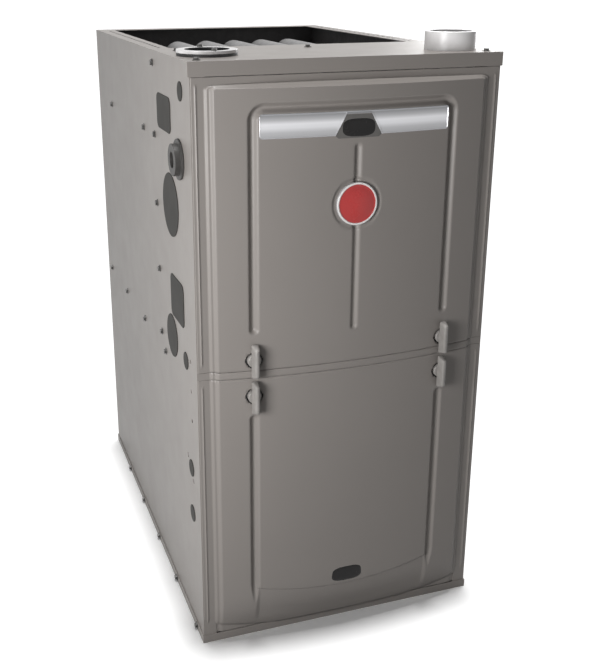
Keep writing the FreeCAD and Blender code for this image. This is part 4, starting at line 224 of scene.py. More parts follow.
# Inner sheets: the vestibule panel, blower deck, door rail and the brackets on them.
# Bare galvanised steel with the frosted crystals of the zinc bath.
galvanised, nodes, links, shader = finish("galvanised_sheet", (0.46, 0.47, 0.48), 0.4, 0.85)
place = nodes.new("ShaderNodeTexCoord")
crystals = nodes.new("ShaderNodeTexVoronoi")
crystals.inputs["Scale"].default_value = 85.0
links.new(place.outputs["Object"], crystals.inputs["Vector"])
flat = nodes.new("ShaderNodeSeparateColor")
links.new(crystals.outputs["Color"], flat.inputs["Color"])
shades(nodes, links, flat.outputs["Red"], (0.37, 0.38, 0.39), (0.53, 0.54, 0.55),
       shader.inputs["Base Color"], 0.1, 0.9)
spread(nodes, links, flat.outputs["Green"], 0.30, 0.48, shader.inputs["Roughness"])
dress(galvanised, "vestibule_panel", "blower_deck", "door_rail", "burner_box", "collector_box",
      "blower_housing", "motor_bracket", "control_panel", "junction_box")

# Burners, their igniter and flame sensor, and the three limit switches on the burner box's roof.
# Pressed steel burners, a ceramic-bodied igniter and rod, and small black switches.
ceramic, nodes, links, shader = finish("white_ceramic", (0.70, 0.68, 0.64), 0.5)
shades(nodes, links, mottle(nodes, links, 120.0), (0.62, 0.60, 0.56), (0.76, 0.74, 0.70),
       shader.inputs["Base Color"])
dress(ceramic, "igniter", "flame_sensor")
dress(aluminised, "burners")


def moulded_plastic(name, dark, light, rough, depth, shine=0.5):
    """Moulded plastic with the fine grain of its tool."""
    material, nodes, links, shader = finish(name, light, rough)
    shader.inputs["Specular IOR Level"].default_value = shine
    shades(nodes, links, mottle(nodes, links, 80.0), dark, light, shader.inputs["Base Color"])
    spread(nodes, links, mottle(nodes, links, 400.0), rough - 0.05, rough + 0.06,
           shader.inputs["Roughness"])
    texture_relief(nodes, links, shader, mottle(nodes, links, 1500.0, 2.0), 0.15, depth)
    return material


black_plastic = moulded_plastic("black_plastic", (0.013, 0.013, 0.014), (0.022, 0.022, 0.023),
                                0.42, 0.0001)
dress(black_plastic, "limit_switches")

# Gas train: the valve with its red turning knob, and the manifold pipe that feeds the burners.
# A die-cast aluminium valve and a pipe of the same grey.
cast_metal, nodes, links, shader = finish("cast_aluminium", (0.52, 0.52, 0.53), 0.48, 0.8)
shades(nodes, links, mottle(nodes, links, 90.0, 5.0), (0.44, 0.44, 0.45), (0.58, 0.58, 0.59),
       shader.inputs["Base Color"])
texture_relief(nodes, links, shader, mottle(nodes, links, 700.0), 0.3, 0.0002)
dress(cast_metal, "gas_valve", "gas_manifold")
knob_red = moulded_plastic("red_knob_plastic", (0.42, 0.018, 0.014), (0.52, 0.026, 0.02),
                           0.38, 0.0001)
dress(knob_red, "gas_valve_knob")

# Inducer: the small fan that draws the flue gas through the exchanger, with its pressure switch.
# A black moulded housing, wheel and switch; its motor and the blower's have a dark painted shell.
dress(black_plastic, "inducer_housing", "inducer_wheel", "pressure_switch")
motor_shell, nodes, links, shader = finish("motor_shell", (0.10, 0.10, 0.105), 0.4, 0.3)
shades(nodes, links, mottle(nodes, links, 50.0), (0.085, 0.085, 0.09), (0.12, 0.12, 0.125),
       shader.inputs["Base Color"])
texture_relief(nodes, links, shader, mottle(nodes, links, 800.0), 0.2, 0.0002)
dress(motor_shell, "inducer_motor", "blower_motor")

# Vent: the white plastic pipe from the inducer, and the coupling above the ledge.
# Smooth moulded plastic with a rounded mouth, lightly scuffed.
vent_white, nodes, links, shader = finish("vent_white", (0.80, 0.79, 0.80), 0.36)
shades(nodes, links, mottle(nodes, links, 22.0, 4.0), (0.87, 0.86, 0.86), (0.91, 0.90, 0.90),
       shader.inputs["Base Color"])
spread(nodes, links, mottle(nodes, links, 140.0), 0.30, 0.42, shader.inputs["Roughness"])
dress(vent_white, "vent_pipe")
rounded_copy("vent_coupling", vent_white, rounding=0.0012)

# Air collar: the ring round the combustion-air inlet, screwed down over a black rubber gasket.
# A pale moulded ring with rounded edges; its throat is coloured black as painted shade inside the
# opening.
THROAT_SHADE_REACH = 0.0325
collar_grey = moulded_plastic("pale_collar", (0.56, 0.55, 0.55), (0.63, 0.62, 0.62), 0.4, 0.0001)
collar = rounded_copy("air_collar", collar_grey, rounding=0.0009)
collar.data.materials.append(black_plastic)
low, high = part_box("air_collar")
middle = (low + high) / 2
# The throat's inner walls take the black plastic: painted shade down the opening.
for face in collar.data.polygons:
    reach = Vector((face.center.x - middle.x, face.center.y - middle.y))
    if reach.length < THROAT_SHADE_REACH and face.normal.z < 0.7:
        face.material_index = 1
rubber, nodes, links, shader = finish("black_rubber", (0.016, 0.016, 0.017), 0.6)
shades(nodes, links, mottle(nodes, links, 200.0), (0.012, 0.012, 0.012), (0.024, 0.024, 0.025),
       shader.inputs["Base Color"])
texture_relief(nodes, links, shader, mottle(nodes, links, 1100.0), 0.3, 0.0002)
rounded_copy("air_collar_gasket", rubber, rounding=0.0006)

# Gas grommet: the soft ring in the left side that the gas pipe passes through.
# Dark grey rubber with a wide flange and a raised hub.
grommet_rubber = moulded_plastic("grommet_rubber", (0.036, 0.034, 0.032), (0.046, 0.044, 0.042),
                                 0.5, 0.0002, 0.3)
rounded_copy("gas_grommet", grommet_rubber, rounding=0.0012)

# Blower: the wheel on its shaft inside the housing, which blows air up through the deck.
# Galvanised blades and a ground steel shaft.
dress(galvanised, "blower_wheel")
dress(zinc, "blower_shaft")

# Controls: the board with its parts, and the transformer, on the control panel.
# A green glass-fibre board with black parts, and a dark painted transformer.
board_green, nodes, links, shader = finish("board_green", (0.018, 0.11, 0.045), 0.35)
shades(nodes, links, mottle(nodes, links, 260.0, 2.0), (0.014, 0.085, 0.034), (0.022, 0.13, 0.055),
       shader.inputs["Base Color"])
dress(board_green, "control_board")
dress(black_plastic, "board_components")
dress(motor_shell, "transformer")

# Condensate drain: the trap on the left wall and the hose that leads to it.
# A grey moulded trap and a black rubber hose.
trap_grey = moulded_plastic("trap_grey", (0.26, 0.26, 0.27), (0.32, 0.32, 0.33), 0.42, 0.0001)
dress(trap_grey, "condensate_trap")
dress(rubber, "drain_hose")

# Door switch: the safety switch on the rail, its plunger, and the striker on the lower door.
# Black and white moulded plastic.
white_plastic = moulded_plastic("white_plastic", (0.66, 0.65, 0.64), (0.72, 0.71, 0.70), 0.4,
                                0.0001)
dress(black_plastic, "door_switch", "switch_striker")
dress(white_plastic, "switch_plunger")

# Door skins: two bowed panels, each pressed from one sheet of enamelled steel.
# A flat border with a thin bead, a stepped ramp up to the bowed face, and pressed grooves.
# They hang on the casing's front flanges and are held by quarter-turn latches.
FRONT = -354.0  # the casing's front; the sizes from here on are in millimetres
HALF_WIDTH = 221.25
UPPER_FOOT, UPPER_TOP = 444.5, 845.5
LOWER_FOOT, LOWER_TOP = 13.7, 433.0
BOW_RADIUS, BOW_RISE = 1150.0, 25.0
RAMP_SIDE, RAMP_TOP, RAMP_CORNER = 205.25, 836.0, 16.0
BEAD_X, BEAD_HALF, BEAD_RISE = 215.25, 2.0, 1.3
GROOVE_X, GROOVE_HALF, GROOVE_DEPTH = 144.5, 7.8, 6.0
HOOP_TOP, HOOP_FOOT, HOOP_CORNER = 806.0, 505.0, 17.0
MIDDLE_TOP, MIDDLE_FOOT, MIDDLE_HALF, MIDDLE_DEPTH = 750.0, 497.0, 6.2, 3.6
DISC_Z, RECESS_RADIUS, RECESS_EDGE, RECESS_DEPTH = 673.0, 36.5, 2.8, 2.0
LEG_TOP, LEG_FOOT, LEG_TAPER = 370.0, 58.0, 42.0
FOOT_RADIUS, FOOT_CENTRE = 864.0, 867.7
CREASE_RADIUS, CREASE_Z, CREASE_HALF, CREASE_STEP = 605.0, 72.0, 144.0, 2.2
UPPER_LATCH, LOWER_LATCH = 460.0, 406.0
CUP_HOLE, CUP_COLLAR = 12.5, 15.0


def ease(share):
    """A smooth step from 0 to 1."""
    share = min(max(share, 0.0), 1.0)
    return share * share * (3 - 2 * share)


def soft_min(first, second, width):
    """The lesser of two heights, with the corner between them rounded."""
    blend = max(width - abs(first - second), 0.0) / width
    return min(first, second) - blend * blend * width / 4


def bow(across):
    """How far the plain bowed face stands out of the casing's front."""
    return sqrt(BOW_RADIUS ** 2 - across ** 2) - BOW_RADIUS + BOW_RISE


def ramped_bow(across, under_top=100.0):
    """The bowed face with the two-step ramp up to it, steeper at the top and round at its corners."""
    inside, under = RAMP_SIDE - abs(across), 2.6 * under_top
    if inside < RAMP_CORNER and under < RAMP_CORNER:
        inside = RAMP_CORNER - hypot(RAMP_CORNER - inside, RAMP_CORNER - under)
    inside = min(inside, under)
    ramp = 0.45 * ease(inside / 5.0) + 0.55 * ease((inside - 6.5) / 6.0)
    return 1 + (bow(across) - 1) * ramp


def bead(across, end):
    """The thin bead along the border, which stops short of the sheet's ends."""
    off = abs(BEAD_X - abs(across))
    return BEAD_RISE * ease(1 - off / BEAD_HALF) * ease(end / 5 - 1.5)


def pressed_groove(distance, half, depth):
    """How deep a groove with rounded lips is at a distance from its middle line."""
    if distance >= half:
        return 0.0
    return depth * (1 - (distance / half) ** 2) ** 2


def hoop_line(across, height):
    """Distance from the middle line of the upper door's hoop-shaped groove."""
    across = abs(across)
    corner_x, corner_z = GROOVE_X - HOOP_CORNER, HOOP_TOP - HOOP_CORNER
    if height > corner_z and across > corner_x:
        return abs(hypot(across - corner_x, height - corner_z) - HOOP_CORNER)
    if height > corner_z:
        return abs(height - HOOP_TOP)
    return hypot(across - GROOVE_X, min(height - HOOP_FOOT, 0.0))


def turned_edge(rise, edge, drop=0.9, width=2.2):
    """The rise with the sheet's edge rounded off towards a seam."""
    return rise - drop * ease(1 - edge / width) * ease((rise - 1) / 2)


def upper_height(across, height):
    """How far the upper door stands out of the casing's front."""
    rise = ramped_bow(across, RAMP_TOP - height)
    rise += bead(across, min(height - UPPER_FOOT, UPPER_TOP - height))
    rise -= pressed_groove(hoop_line(across, height), GROOVE_HALF, GROOVE_DEPTH)
    middle = hypot(across, min(height - MIDDLE_FOOT, 0.0) + max(height - MIDDLE_TOP, 0.0))
    rise -= pressed_groove(middle, MIDDLE_HALF, MIDDLE_DEPTH)
    rise -= RECESS_DEPTH * ease((RECESS_RADIUS - hypot(across, height - DISC_Z)) / RECESS_EDGE)
    return turned_edge(rise, height - UPPER_FOOT)


def lower_height(across, height):
    """How far the lower door stands out of the casing's front."""
    foot = FOOT_RADIUS - hypot(across, height - FOOT_CENTRE)
    foot_rise = 1 + 3.0 * ease(foot / 4.0) + 0.36 * max(foot - 2.0, 0.0)
    rise = soft_min(ramped_bow(across), foot_rise, 12.0)
    rise += bead(across, min(height - LOWER_FOOT, LOWER_TOP - height))
    taper = ease((height - LEG_FOOT) / LEG_TAPER)
    leg = hypot(abs(across) - GROOVE_X, max(height - LEG_TOP, 0.0))
    if taper > 0.02:
        rise -= pressed_groove(leg, GROOVE_HALF * (0.35 + 0.65 * taper), GROOVE_DEPTH * taper)
    below = hypot(across, height - CREASE_Z - CREASE_RADIUS) - CREASE_RADIUS
    step = CREASE_STEP * ease((below + 1.4) / 2.8)
    rise -= step * ease((CREASE_HALF - abs(across)) / 8.0) * ease((foot - 4.0) / 30.0)
    return turned_edge(rise, LOWER_TOP - height)


def stations(low, high, coarse, *fine):
    """Grid lines from low to high: close together in the fine spans, and at their ends exactly."""
    lines = [low]
    for start, end, count in (*sorted(fine), (high, high, 0)):
        gap = start - lines[-1]
        steps = max(int(gap / coarse + 0.999), 1) if gap > 1e-6 else 0
        lines += [lines[-1] + gap * step / steps for step in range(1, steps + 1)]
        lines += [start + (end - start) * step / count for step in range(1, count + 1)]
    return lines


def sheet_grid(columns, rows):
    """A flat grid with its points on the given columns and rows."""
    bm = bmesh.new()
    bmesh.ops.create_grid(bm, x_segments=len(columns) - 1, y_segments=len(rows) - 1, size=1)
    for vert in bm.verts:
        column = round((vert.co.x + 1) / 2 * (len(columns) - 1))
        row = round((vert.co.y + 1) / 2 * (len(rows) - 1))
        vert.co = (columns[column], rows[row], 0)
    return bm


def on_front(across, rise, height):
    """A point that stands out of the casing's front, in metres."""
    return across / 1000, (FRONT - rise) / 1000, height / 1000


def straight_rows(across, height):
    """The upper door's grid lines run level."""
    return 0.0


def crease_rows(across, height):
    """How far the grid lines near the crease rise towards the sides, to run along it."""
    sag = CREASE_RADIUS - sqrt(CREASE_RADIUS ** 2 - min(abs(across), CREASE_HALF) ** 2)
    return sag * ease((height - 18.0) / 44.0) * ease((170.0 - height) / 84.0)


def pressed_sheet(columns, rows, height_of, follow, latch):
    """A grid of steel sheet pressed to its heights, with the round latch holes cut in it."""
    bm = sheet_grid(columns, rows)
    for vert in bm.verts:
        across, height = vert.co.x, vert.co.y
        height += follow(across, height)
        side = GROOVE_X if across > 0 else -GROOVE_X
        reach = max(abs(across - side), abs(height - latch))
        if CUP_HOLE - 0.01 < reach < CUP_COLLAR + 0.01:
            corner = reach / hypot(across - side, height - latch) - 1
            share = (CUP_COLLAR - reach) / (CUP_COLLAR - CUP_HOLE) * corner + 1
            across, height = side + (across - side) * share, latch + (height - latch) * share
        vert.co = (across, height, 0)
    holes = []
    for face in bm.faces:
        middle = face.calc_center_median()
        if hypot(abs(middle.x) - GROOVE_X, middle.y - latch) < CUP_HOLE - 0.4:
            holes.append(face)
    bmesh.ops.delete(bm, geom=holes, context="FACES")
    for vert in bm.verts:
        across, height = vert.co.x, vert.co.y
        vert.co = on_front(across, height_of(across, height), height)
    return bm


def cup_lines(middle, count):
    """Fine spans of grid lines for a latch hole and the collar round it."""
    return ((middle - CUP_COLLAR, middle - CUP_HOLE, 2), (middle - CUP_HOLE, middle + CUP_HOLE, count),
            (middle + CUP_HOLE, middle + CUP_COLLAR, 2))


left_lines = ((-HALF_WIDTH, -212.0, 8), (-206.0, -190.0, 20), *cup_lines(-GROOVE_X, 20),
              (-38.0, -24.0, 10))
right_lines = [(-end, -start, count) for start, end, count in left_lines]
columns = stations(-HALF_WIDTH, HALF_WIDTH, 7.0, *left_lines, (-9.0, 9.0, 12), *right_lines)
upper_rows = stations(UPPER_FOOT, UPPER_TOP, 6.0, *cup_lines(UPPER_LATCH, 16), (487.0, 514.0, 16),
                      (632.0, 714.0, 46), (742.0, 762.0, 12), (786.0, 818.0, 30), (826.0, UPPER_TOP, 20))
lower_rows = stations(LOWER_FOOT, LOWER_TOP, 6.0, (LOWER_FOOT, 44.0, 22), (50.0, 66.0, 8),
                      (66.0, 78.0, 20), (78.0, 110.0, 14), (360.0, 382.0, 12),
                      *cup_lines(LOWER_LATCH, 16), (424.0, 430.5, 3), (430.5, LOWER_TOP, 6))
for name, *pressing in (("upper_door", upper_rows, upper_height, straight_rows, UPPER_LATCH),
                        ("lower_door", lower_rows, lower_height, crease_rows, LOWER_LATCH)):
    sheet = pressed_sheet(columns, *pressing)
    skin = add_piece(name + "_skin", sheet, name, enamel, [name], 50)
    gauge = skin.modifiers.new("sheet_gauge", "SOLIDIFY")
    gauge.thickness = 0.001
    gauge.offset = -1

# Centre trim: the narrow strip across the casing between the doors, flush with both.
# Pressed from the same sheet, with its long edges turned back to the casing's front.
TRIM_ROWS = [433.5, 434.2, 435.0, 436.0, 438.75, 441.5, 442.5, 443.3, 444.0]


def new_points(bm, edges):
    """The points that come up when edges of a sheet are drawn out."""
    drawn = bmesh.ops.extrude_edge_only(bm, edges=edges)["geom"]
    return [part for part in drawn if isinstance(part, bmesh.types.BMVert)]


trim = sheet_grid(columns, TRIM_ROWS)
for vert in trim.verts:
    across, height = vert.co.x, vert.co.y
    edge = min(height - TRIM_ROWS[0], TRIM_ROWS[-1] - height)
    vert.co = on_front(across, turned_edge(ramped_bow(across), edge, 0.8, 1.8), height)
long_edges = [edge for edge in trim.edges if edge.is_boundary
              and abs(edge.verts[0].co.z - edge.verts[1].co.z) < 1e-6]
for vert in new_points(trim, long_edges):
    vert.co.y = FRONT / 1000
add_piece("centre_trim_skin", trim, "cabinet", enamel, ["centre_trim"], 50)

# Sight windows: a black oblong lens in each door.
# Moulded from gloss black plastic, slightly domed, with rounded ends.
UPPER_WINDOW, LOWER_WINDOW = 776.0, 91.0
LENS_HALF_WIDTH, LENS_HALF_HEIGHT, LENS_ROUNDNESS = 25.0, 12.5, 3.2
lens_black, nodes, links, shader = finish("lens_black", (0.012, 0.011, 0.011), 0.24)
shader.inputs["Specular IOR Level"].default_value = 0.18
spread(nodes, links, mottle(nodes, links, 90.0), 0.20, 0.29, shader.inputs["Roughness"])
shades(nodes, links, mottle(nodes, links, 30.0), (0.010, 0.0095, 0.0095), (0.014, 0.013, 0.013),
       shader.inputs["Base Color"])


def turn_back_rim(bm, depth):
    """The whole rim of a thin piece turned back towards the door."""
    rim = [edge for edge in bm.edges if edge.is_boundary]
    for vert in new_points(bm, rim):
        vert.co.y += depth / 1000


for name, middle, face_height in (("upper", UPPER_WINDOW, upper_height),
                                  ("lower", LOWER_WINDOW, lower_height)):
    seat = face_height(0.0, middle) - BOW_RISE
    bm = bmesh.new()
    bmesh.ops.create_grid(bm, x_segments=48, y_segments=28, size=1)
    for vert in bm.verts:
        side, up = vert.co.x, vert.co.y
        square = max(abs(side), abs(up))
        power = (abs(side) ** LENS_ROUNDNESS + abs(up) ** LENS_ROUNDNESS) ** (1 / LENS_ROUNDNESS)
        share = square / power if power else 0
        across, height = LENS_HALF_WIDTH * side * share, middle + LENS_HALF_HEIGHT * up * share
        dome = 1.4 * (1 - square ** 8) - 0.3
        vert.co = on_front(across, seat + bow(across) + dome, height)
    turn_back_rim(bm, 2.5)
    add_piece(name + "_sight_window", bm, name + "_door", lens_black,
              [name + "_window"], 60)

# Window bezel: the dark grey frame that fills the plate's notch round the upper window.
# A thin moulded plate with slanted sides, bonded to the door.
BEZEL_FOOT, BEZEL_TOP, BEZEL_HALF, BEZEL_SLANT, BEZEL_PROUD = 762.5, 793.5, 33.5, 15.0, 0.25
bezel_grey = moulded_plastic("bezel_grey", (0.085, 0.081, 0.077), (0.105, 0.100, 0.095), 0.44, 0.0001)
bm = bmesh.new()
bmesh.ops.create_grid(bm, x_segments=40, y_segments=16, size=1)
for vert in bm.verts:
    up = (vert.co.y + 1) / 2
    height = BEZEL_FOOT + (BEZEL_TOP - BEZEL_FOOT) * up
    slanted_half = BEZEL_HALF - BEZEL_SLANT * max(up - 0.12, 0.0) / 0.88
    across = vert.co.x * min(slanted_half, 29.0 + 40.0 * up)
    vert.co = on_front(across, bow(across) + BEZEL_PROUD, height)
turn_back_rim(bm, 1.2)
add_piece("upper_window_bezel", bm, "upper_door", bezel_grey, (), 40)

# Strip plate: the long bright plate across the upper door, cut out round the window.
# Thin brushed metal bent to the bow, with a raised rim round a plain face.
STRIP_HALF, STRIP_FOOT, STRIP_TOP, STRIP_CORNER = 136.0, 766.0, 798.0, 4.0
NOTCH_HALF, NOTCH_RUN, NOTCH_RISE = 33.0, 15.0, 28.0
NOTCH_SLANT = hypot(NOTCH_RISE, NOTCH_RUN)
# Colour bands by height over the face: darker just inside the foot and the top, lightest a little above
# the middle.
STRIP_SHADES = ((0.0, (0.46, 0.46, 0.48)), (0.07, (0.36, 0.36, 0.3708)), (0.24, (0.42, 0.42, 0.4326)),
                (0.42, (0.62, 0.62, 0.6386)), (0.58, (0.68, 0.68, 0.7004)), (0.74, (0.40, 0.40, 0.412)),
                (0.92, (0.24, 0.24, 0.2472)), (1.0, (0.38, 0.39, 0.41)))


def banded(nodes, links, factor, low, high, bands, target):
    """A measure from low to high, led through bands of colour to a socket of the shader."""
    level = nodes.new("ShaderNodeMapRange")
    level.inputs["From Min"].default_value = low
    level.inputs["From Max"].default_value = high
    links.new(factor, level.inputs["Value"])
    ramp = nodes.new("ShaderNodeValToRGB")
    stops = ramp.color_ramp.elements
    stops[0].color, stops[1].color = (*bands[0][1], 1), (*bands[-1][1], 1)
    for position, colour in bands[1:-1]:
        stops.new(position).color = (*colour, 1)
    links.new(level.outputs["Result"], ramp.inputs["Fac"])
    links.new(ramp.outputs["Color"], target)


brushed, nodes, links, shader = finish("brushed_plate", (0.60, 0.60, 0.63), 0.3, 0.6)
place = nodes.new("ShaderNodeTexCoord")
parts = nodes.new("ShaderNodeSeparateXYZ")
links.new(place.outputs["Object"], parts.inputs["Vector"])
banded(nodes, links, parts.outputs["Z"], STRIP_FOOT / 1000, STRIP_TOP / 1000, STRIP_SHADES,
       shader.inputs["Base Color"])
brush_marks = mottle(nodes, links, 40.0, 1.0, (1, 1, 80))
spread(nodes, links, brush_marks, 0.28, 0.34, shader.inputs["Roughness"])


def strip_edges(across):
    """The plate's lower and upper edge: round at the ends, with a slanted notch over the window."""
    over = max(abs(across) - STRIP_HALF + STRIP_CORNER, 0.0)
    corner = STRIP_CORNER - sqrt(max(STRIP_CORNER ** 2 - over * over, 0.0))
    notch = NOTCH_RISE * min(max((NOTCH_HALF - abs(across)) / NOTCH_RUN, 0.0), 1.0)
    return STRIP_FOOT + max(corner, notch), STRIP_TOP - corner


def rim_depth(across, height):
    """Distance of a point on the plate from its nearest edge."""
    off = abs(across)
    foot, top = strip_edges(across)
    slanted = NOTCH_RUN / NOTCH_SLANT if NOTCH_HALF - NOTCH_RUN < off < NOTCH_HALF else 1.0
    near_notch = 9.0
    if NOTCH_HALF <= off < NOTCH_HALF + 5:
        near_notch = ((off - NOTCH_HALF) * NOTCH_RISE + (height - STRIP_FOOT) * NOTCH_RUN) / NOTCH_SLANT
    return min((height - foot) * slanted, near_notch, top - height, STRIP_HALF - off)


strip_columns = stations(-STRIP_HALF, STRIP_HALF, 6.0, (-STRIP_HALF, 5 - STRIP_HALF, 16),
                         (-39.0, -17.0, 33), (17.0, 39.0, 33), (STRIP_HALF - 5, STRIP_HALF, 16))
strip_shares = [0.0, 0.015, 0.03, 0.045, 0.06, 0.08, 0.12, 0.25, 0.4, 0.55, 0.7, 0.82, 0.90, 0.925,
                0.945, 0.96, 0.975, 0.9875, 1.0]
bm = sheet_grid(strip_columns, strip_shares)
for vert in bm.verts:
    across, share = vert.co.x, vert.co.y
    foot, top = strip_edges(across)
    height = foot + (top - foot) * share
    edge = rim_depth(across, height)
    proud = 0.5 + 0.7 * ease(edge / 0.5) - 0.7 * ease((edge - 1.2) / 0.8)
    vert.co = on_front(across, bow(across) + proud, height)
turn_back_rim(bm, 1.2)
add_piece("bare_strip_plate", bm, "upper_door", brushed, ["strip_plate"], 40)

# Round plate: a plain domed disc seated in the recess of the upper door.
# Red enamel on metal, with a thin pale ring on its raised rim.
DISC_RADIUS = 30.0
DISC_SEAT = BOW_RISE - RECESS_DEPTH
DISC_PROFILE = ((0.0, 4.9), (8.0, 4.75), (16.0, 4.2), (22.0, 3.5), (25.4, 3.0), (26.2, 3.1), (27.0, 3.7),
                (28.4, 3.9), (29.6, 3.3), (DISC_RADIUS, 2.2), (DISC_RADIUS, 0.0))
# Colour rings by radius: the red darkens a little towards the pale ring, and the grey outermost edge is
# partly the bare metal rim and partly painted shade where the rim turns down into the recess.
DISC_RINGS = ((0.0, (0.50, 0.026, 0.024)), (0.885, (0.43, 0.020, 0.019)), (0.90, (0.80, 0.78, 0.77)),
              (0.965, (0.80, 0.78, 0.77)), (0.985, (0.40, 0.39, 0.39)), (1.0, (0.34, 0.33, 0.33)))
disc_red, nodes, links, shader = finish("plate_red", (0.47, 0.024, 0.022), 0.25)
place = nodes.new("ShaderNodeTexCoord")
centre = nodes.new("ShaderNodeMapping")
centre.inputs["Location"].default_value = (0, 0, -DISC_Z / 1000)
centre.inputs["Scale"].default_value = (1, 0, 1)
links.new(place.outputs["Object"], centre.inputs["Vector"])
span = nodes.new("ShaderNodeVectorMath")
span.operation = "LENGTH"
links.new(centre.outputs["Vector"], span.inputs[0])
banded(nodes, links, span.outputs["Value"], 0, DISC_RADIUS / 1000, DISC_RINGS,
       shader.inputs["Base Color"])
spread(nodes, links, mottle(nodes, links, 80.0), 0.20, 0.30, shader.inputs["Roughness"])
bm = bmesh.new()
verts = [bm.verts.new(on_front(radius, DISC_SEAT + out, DISC_Z)) for radius, out in DISC_PROFILE]
line = [bm.edges.new(pair) for pair in zip(verts, verts[1:])]
bmesh.ops.spin(bm, geom=verts + line, cent=(0, 0, DISC_Z / 1000), axis=(0, 1, 0), angle=2 * pi, steps=72,
               use_merge=True)
bmesh.ops.remove_doubles(bm, verts=bm.verts[:], dist=1e-6)
bmesh.ops.recalc_face_normals(bm, faces=bm.faces[:])
add_piece("plain_round_plate", bm, "upper_door", disc_red, ["round_plate"], 60)

# Latches: quarter-turn winged knobs, two on each door, in cups let into the skins; the cups are coloured
# black as painted shade inside them.
# Moulded in grey plastic; the shaft passes through the cup to a cam behind the door rail.
HUB_RADIUS, SHAFT_RADIUS = 9.6, 3.9
WING_HALF, WING_REACH, WING_RISE, WING_ROUND = 5.8, 25.5, 14.0, 2.75
CAM_HALF, CAM_REACH = 5.0, 15.0
latch_grey = moulded_plastic("latch_grey", (0.235, 0.222, 0.21), (0.275, 0.26, 0.247), 0.44, 0.00012)
# The cups in black plastic: painted shade round each knob.
dress(black_plastic, "upper_latch_cups", "lower_latch_cups")


def edges_of(verts):
    """The edges that meet at some points, each once."""
    return list(dict.fromkeys(edge for vert in verts for edge in vert.link_edges))


def round_bar(bm, across, height, start, end, radius, rounding):
    """A round bar along the latch's axis with its rims rounded."""
    middle = Matrix.Translation((across / 1000, (start + end) / 2000, height / 1000))
    made = bmesh.ops.create_cone(bm, cap_ends=True, segments=40, radius1=radius / 1000,
                                 radius2=radius / 1000, depth=abs(end - start) / 1000,
                                 matrix=middle @ Matrix.Rotation(pi / 2, 4, "X"))["verts"]
    rims = [edge for edge in edges_of(made) if edge.calc_face_angle(0) > radians(40)]
    round_edges(bm, rims, rounding / 1000, 3)


def rounded_block(bm, low, high, rounding, narrow=1.0, shorten=1.0):
    """A block between two corners, narrower and shorter at the front, with its edges rounded."""
    size = [(b - a) / 1000 for a, b in zip(low, high)]
    middle = [(a + b) / 2000 for a, b in zip(low, high)]
    block = Matrix.Translation(middle) @ Matrix.Diagonal((*size, 1))
    made = bmesh.ops.create_cube(bm, size=1, matrix=block)["verts"]
    for vert in made:
        if vert.co.y < middle[1]:
            vert.co.x = middle[0] + (vert.co.x - middle[0]) * narrow
            vert.co.z = middle[2] + (vert.co.z - middle[2]) * shorten
    round_edges(bm, edges_of(made), rounding / 1000, 4)


for door, latch in (("upper", UPPER_LATCH), ("lower", LOWER_LATCH)):
    for side, across in (("left", -GROOVE_X), ("right", GROOVE_X)):
        node = f"{door}_{side}_latch"
        low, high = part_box(node)
        front, back = low.y * 1000, high.y * 1000
        hub = front + WING_RISE
        bm = bmesh.new()
        round_bar(bm, across, latch, hub - 0.6, hub + 11.0, HUB_RADIUS, 1.2)
        round_bar(bm, across, latch, hub + 10.0, back, SHAFT_RADIUS, 0.4)
        rounded_block(bm, (across - WING_HALF, front, latch - WING_REACH),
                      (across + WING_HALF, hub + 0.2, latch + WING_REACH), WING_ROUND, 0.5, 0.82)
        rounded_block(bm, (across - CAM_HALF, back - 4.5, latch - CAM_REACH),
                      (across + CAM_HALF, back - 1.5, latch + CAM_REACH), 0.5)
        add_piece(node + "_knob", bm, node, latch_grey, [node], 40)

# Studio: a pale paper floor that runs on to the horizon, and an even white surround.
# A narrow lamp overhead casts the shadow; three softboxes, flagged off the floor, light the casing.
# The camera stands at the front left, a little above the casing's top.
FLOOR_GLOW = 0.15
SURROUND_FILL = 0.06
SOFTBOX_AIM = Vector((0, 0, 0.5))


def met_by_view(nodes, links):
    """1 where a camera, mirrored or see-through ray meets the surface, and 0 for bounced light."""
    seen = nodes.new("ShaderNodeLightPath")
    any_view = seen.outputs["Is Camera Ray"]
    for ray in ("Is Transmission Ray", "Is Glossy Ray"):
        either = nodes.new("ShaderNodeMath")
        either.operation = "MAXIMUM"
        links.new(any_view, either.inputs[0])
        links.new(seen.outputs[ray], either.inputs[1])
        any_view = either.outputs["Value"]
    return any_view


floor_paper, nodes, links, shader = finish("floor_paper", (0.40, 0.40, 0.40), 0.9)
any_view = met_by_view(nodes, links)
paper = nodes.new("ShaderNodeMix")
paper.data_type = "RGBA"
paper.inputs["A"].default_value = (0.165, 0.165, 0.165, 1)
links.new(any_view, paper.inputs["Factor"])
shades(nodes, links, mottle(nodes, links, 3.0), (0.93, 0.93, 0.93), (0.95, 0.95, 0.95),
       paper.inputs["B"])
links.new(paper.outputs["Result"], shader.inputs["Base Color"])
glow = nodes.new("ShaderNodeMath")
glow.operation = "MULTIPLY"
glow.inputs[1].default_value = FLOOR_GLOW
links.new(any_view, glow.inputs[0])
shader.inputs["Emission Color"].default_value = (1, 1, 1, 1)
links.new(glow.outputs["Value"], shader.inputs["Emission Strength"])
bm = bmesh.new()
bmesh.ops.create_grid(bm, x_segments=2, y_segments=2, size=30)
mesh = bpy.data.meshes.new("studio_floor")
bm.to_mesh(mesh)
bm.free()
mesh.materials.append(floor_paper)
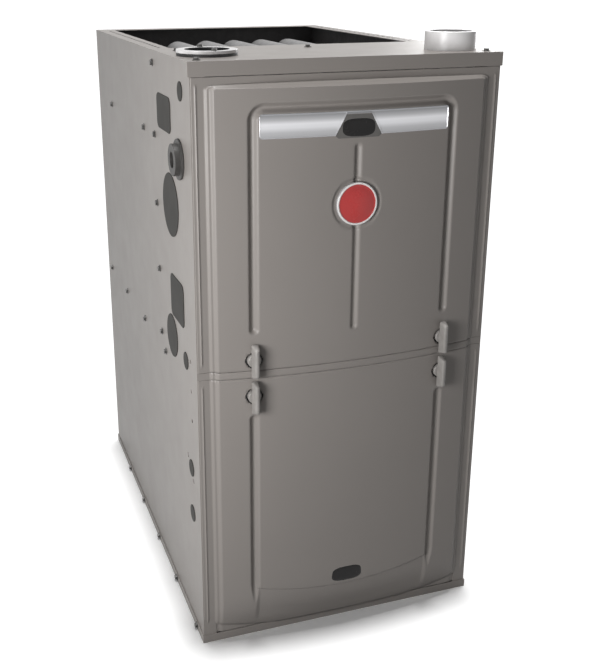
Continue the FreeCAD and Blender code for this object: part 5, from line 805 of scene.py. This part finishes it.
floor = put_in_scene("studio_floor", mesh)
flagged = bpy.data.collections.new("flagged_off_softboxes")
flagged.objects.link(floor)
flagged.collection_objects[0].light_linking.link_state = "EXCLUDE"

world = bpy.data.worlds.new("studio_surround")
bpy.context.scene.world = world
world.use_nodes = True
nodes, links = world.node_tree.nodes, world.node_tree.links
surround = nodes["Background"]
surround.inputs["Color"].default_value = (1, 1, 1, 1)
level = nodes.new("ShaderNodeMapRange")
level.inputs["To Min"].default_value = SURROUND_FILL
level.inputs["To Max"].default_value = 1.0
links.new(met_by_view(nodes, links), level.inputs["Value"])
links.new(level.outputs["Result"], surround.inputs["Strength"])


def aimed(direction):
    """The turn of a lamp whose light falls along a direction."""
    return Vector(direction).to_track_quat("-Z", "Y").to_euler()


overhead = bpy.data.lights.new("overhead_light", "SUN")
overhead.energy = 3.2
overhead.angle = radians(5)
put_in_scene("overhead_light", overhead).rotation_euler = aimed((-0.012, -0.03, -1.0))
for name, spot, width, power in (("left_softbox", (-2.3, 0.45, 0.75), 1.6, 1.5),
                                 ("front_softbox", (-0.97, -0.97, 0.70), 0.5, 14.5),
                                 ("back_softbox", (2.2, 1.9, 0.9), 1.8, 60)):
    softbox = bpy.data.lights.new(name, "AREA")
    softbox.size = width
    softbox.energy = power
    box_light = put_in_scene(name, softbox)
    box_light.location = spot
    box_light.rotation_euler = aimed(SOFTBOX_AIM - Vector(spot))
    box_light.light_linking.receiver_collection = flagged

lens = bpy.data.cameras.new("front_left_view")
lens.lens = 52.4
lens.shift_x, lens.shift_y = 0.06, -0.065
lens.clip_end = 200
camera = put_in_scene("front_left_view", lens)
camera.location = (-0.5242, -1.5496, 0.9766)
turned = Matrix.Rotation(radians(-18.74), 3, "Z")
tilted = Matrix.Rotation(radians(90 - 18.42), 3, "X")
rolled = Matrix.Rotation(radians(-0.1), 3, "Z")
camera.rotation_euler = (turned @ tilted @ rolled).to_euler()
bpy.context.scene.camera = camera
bpy.context.scene.view_settings.view_transform = "Standard"
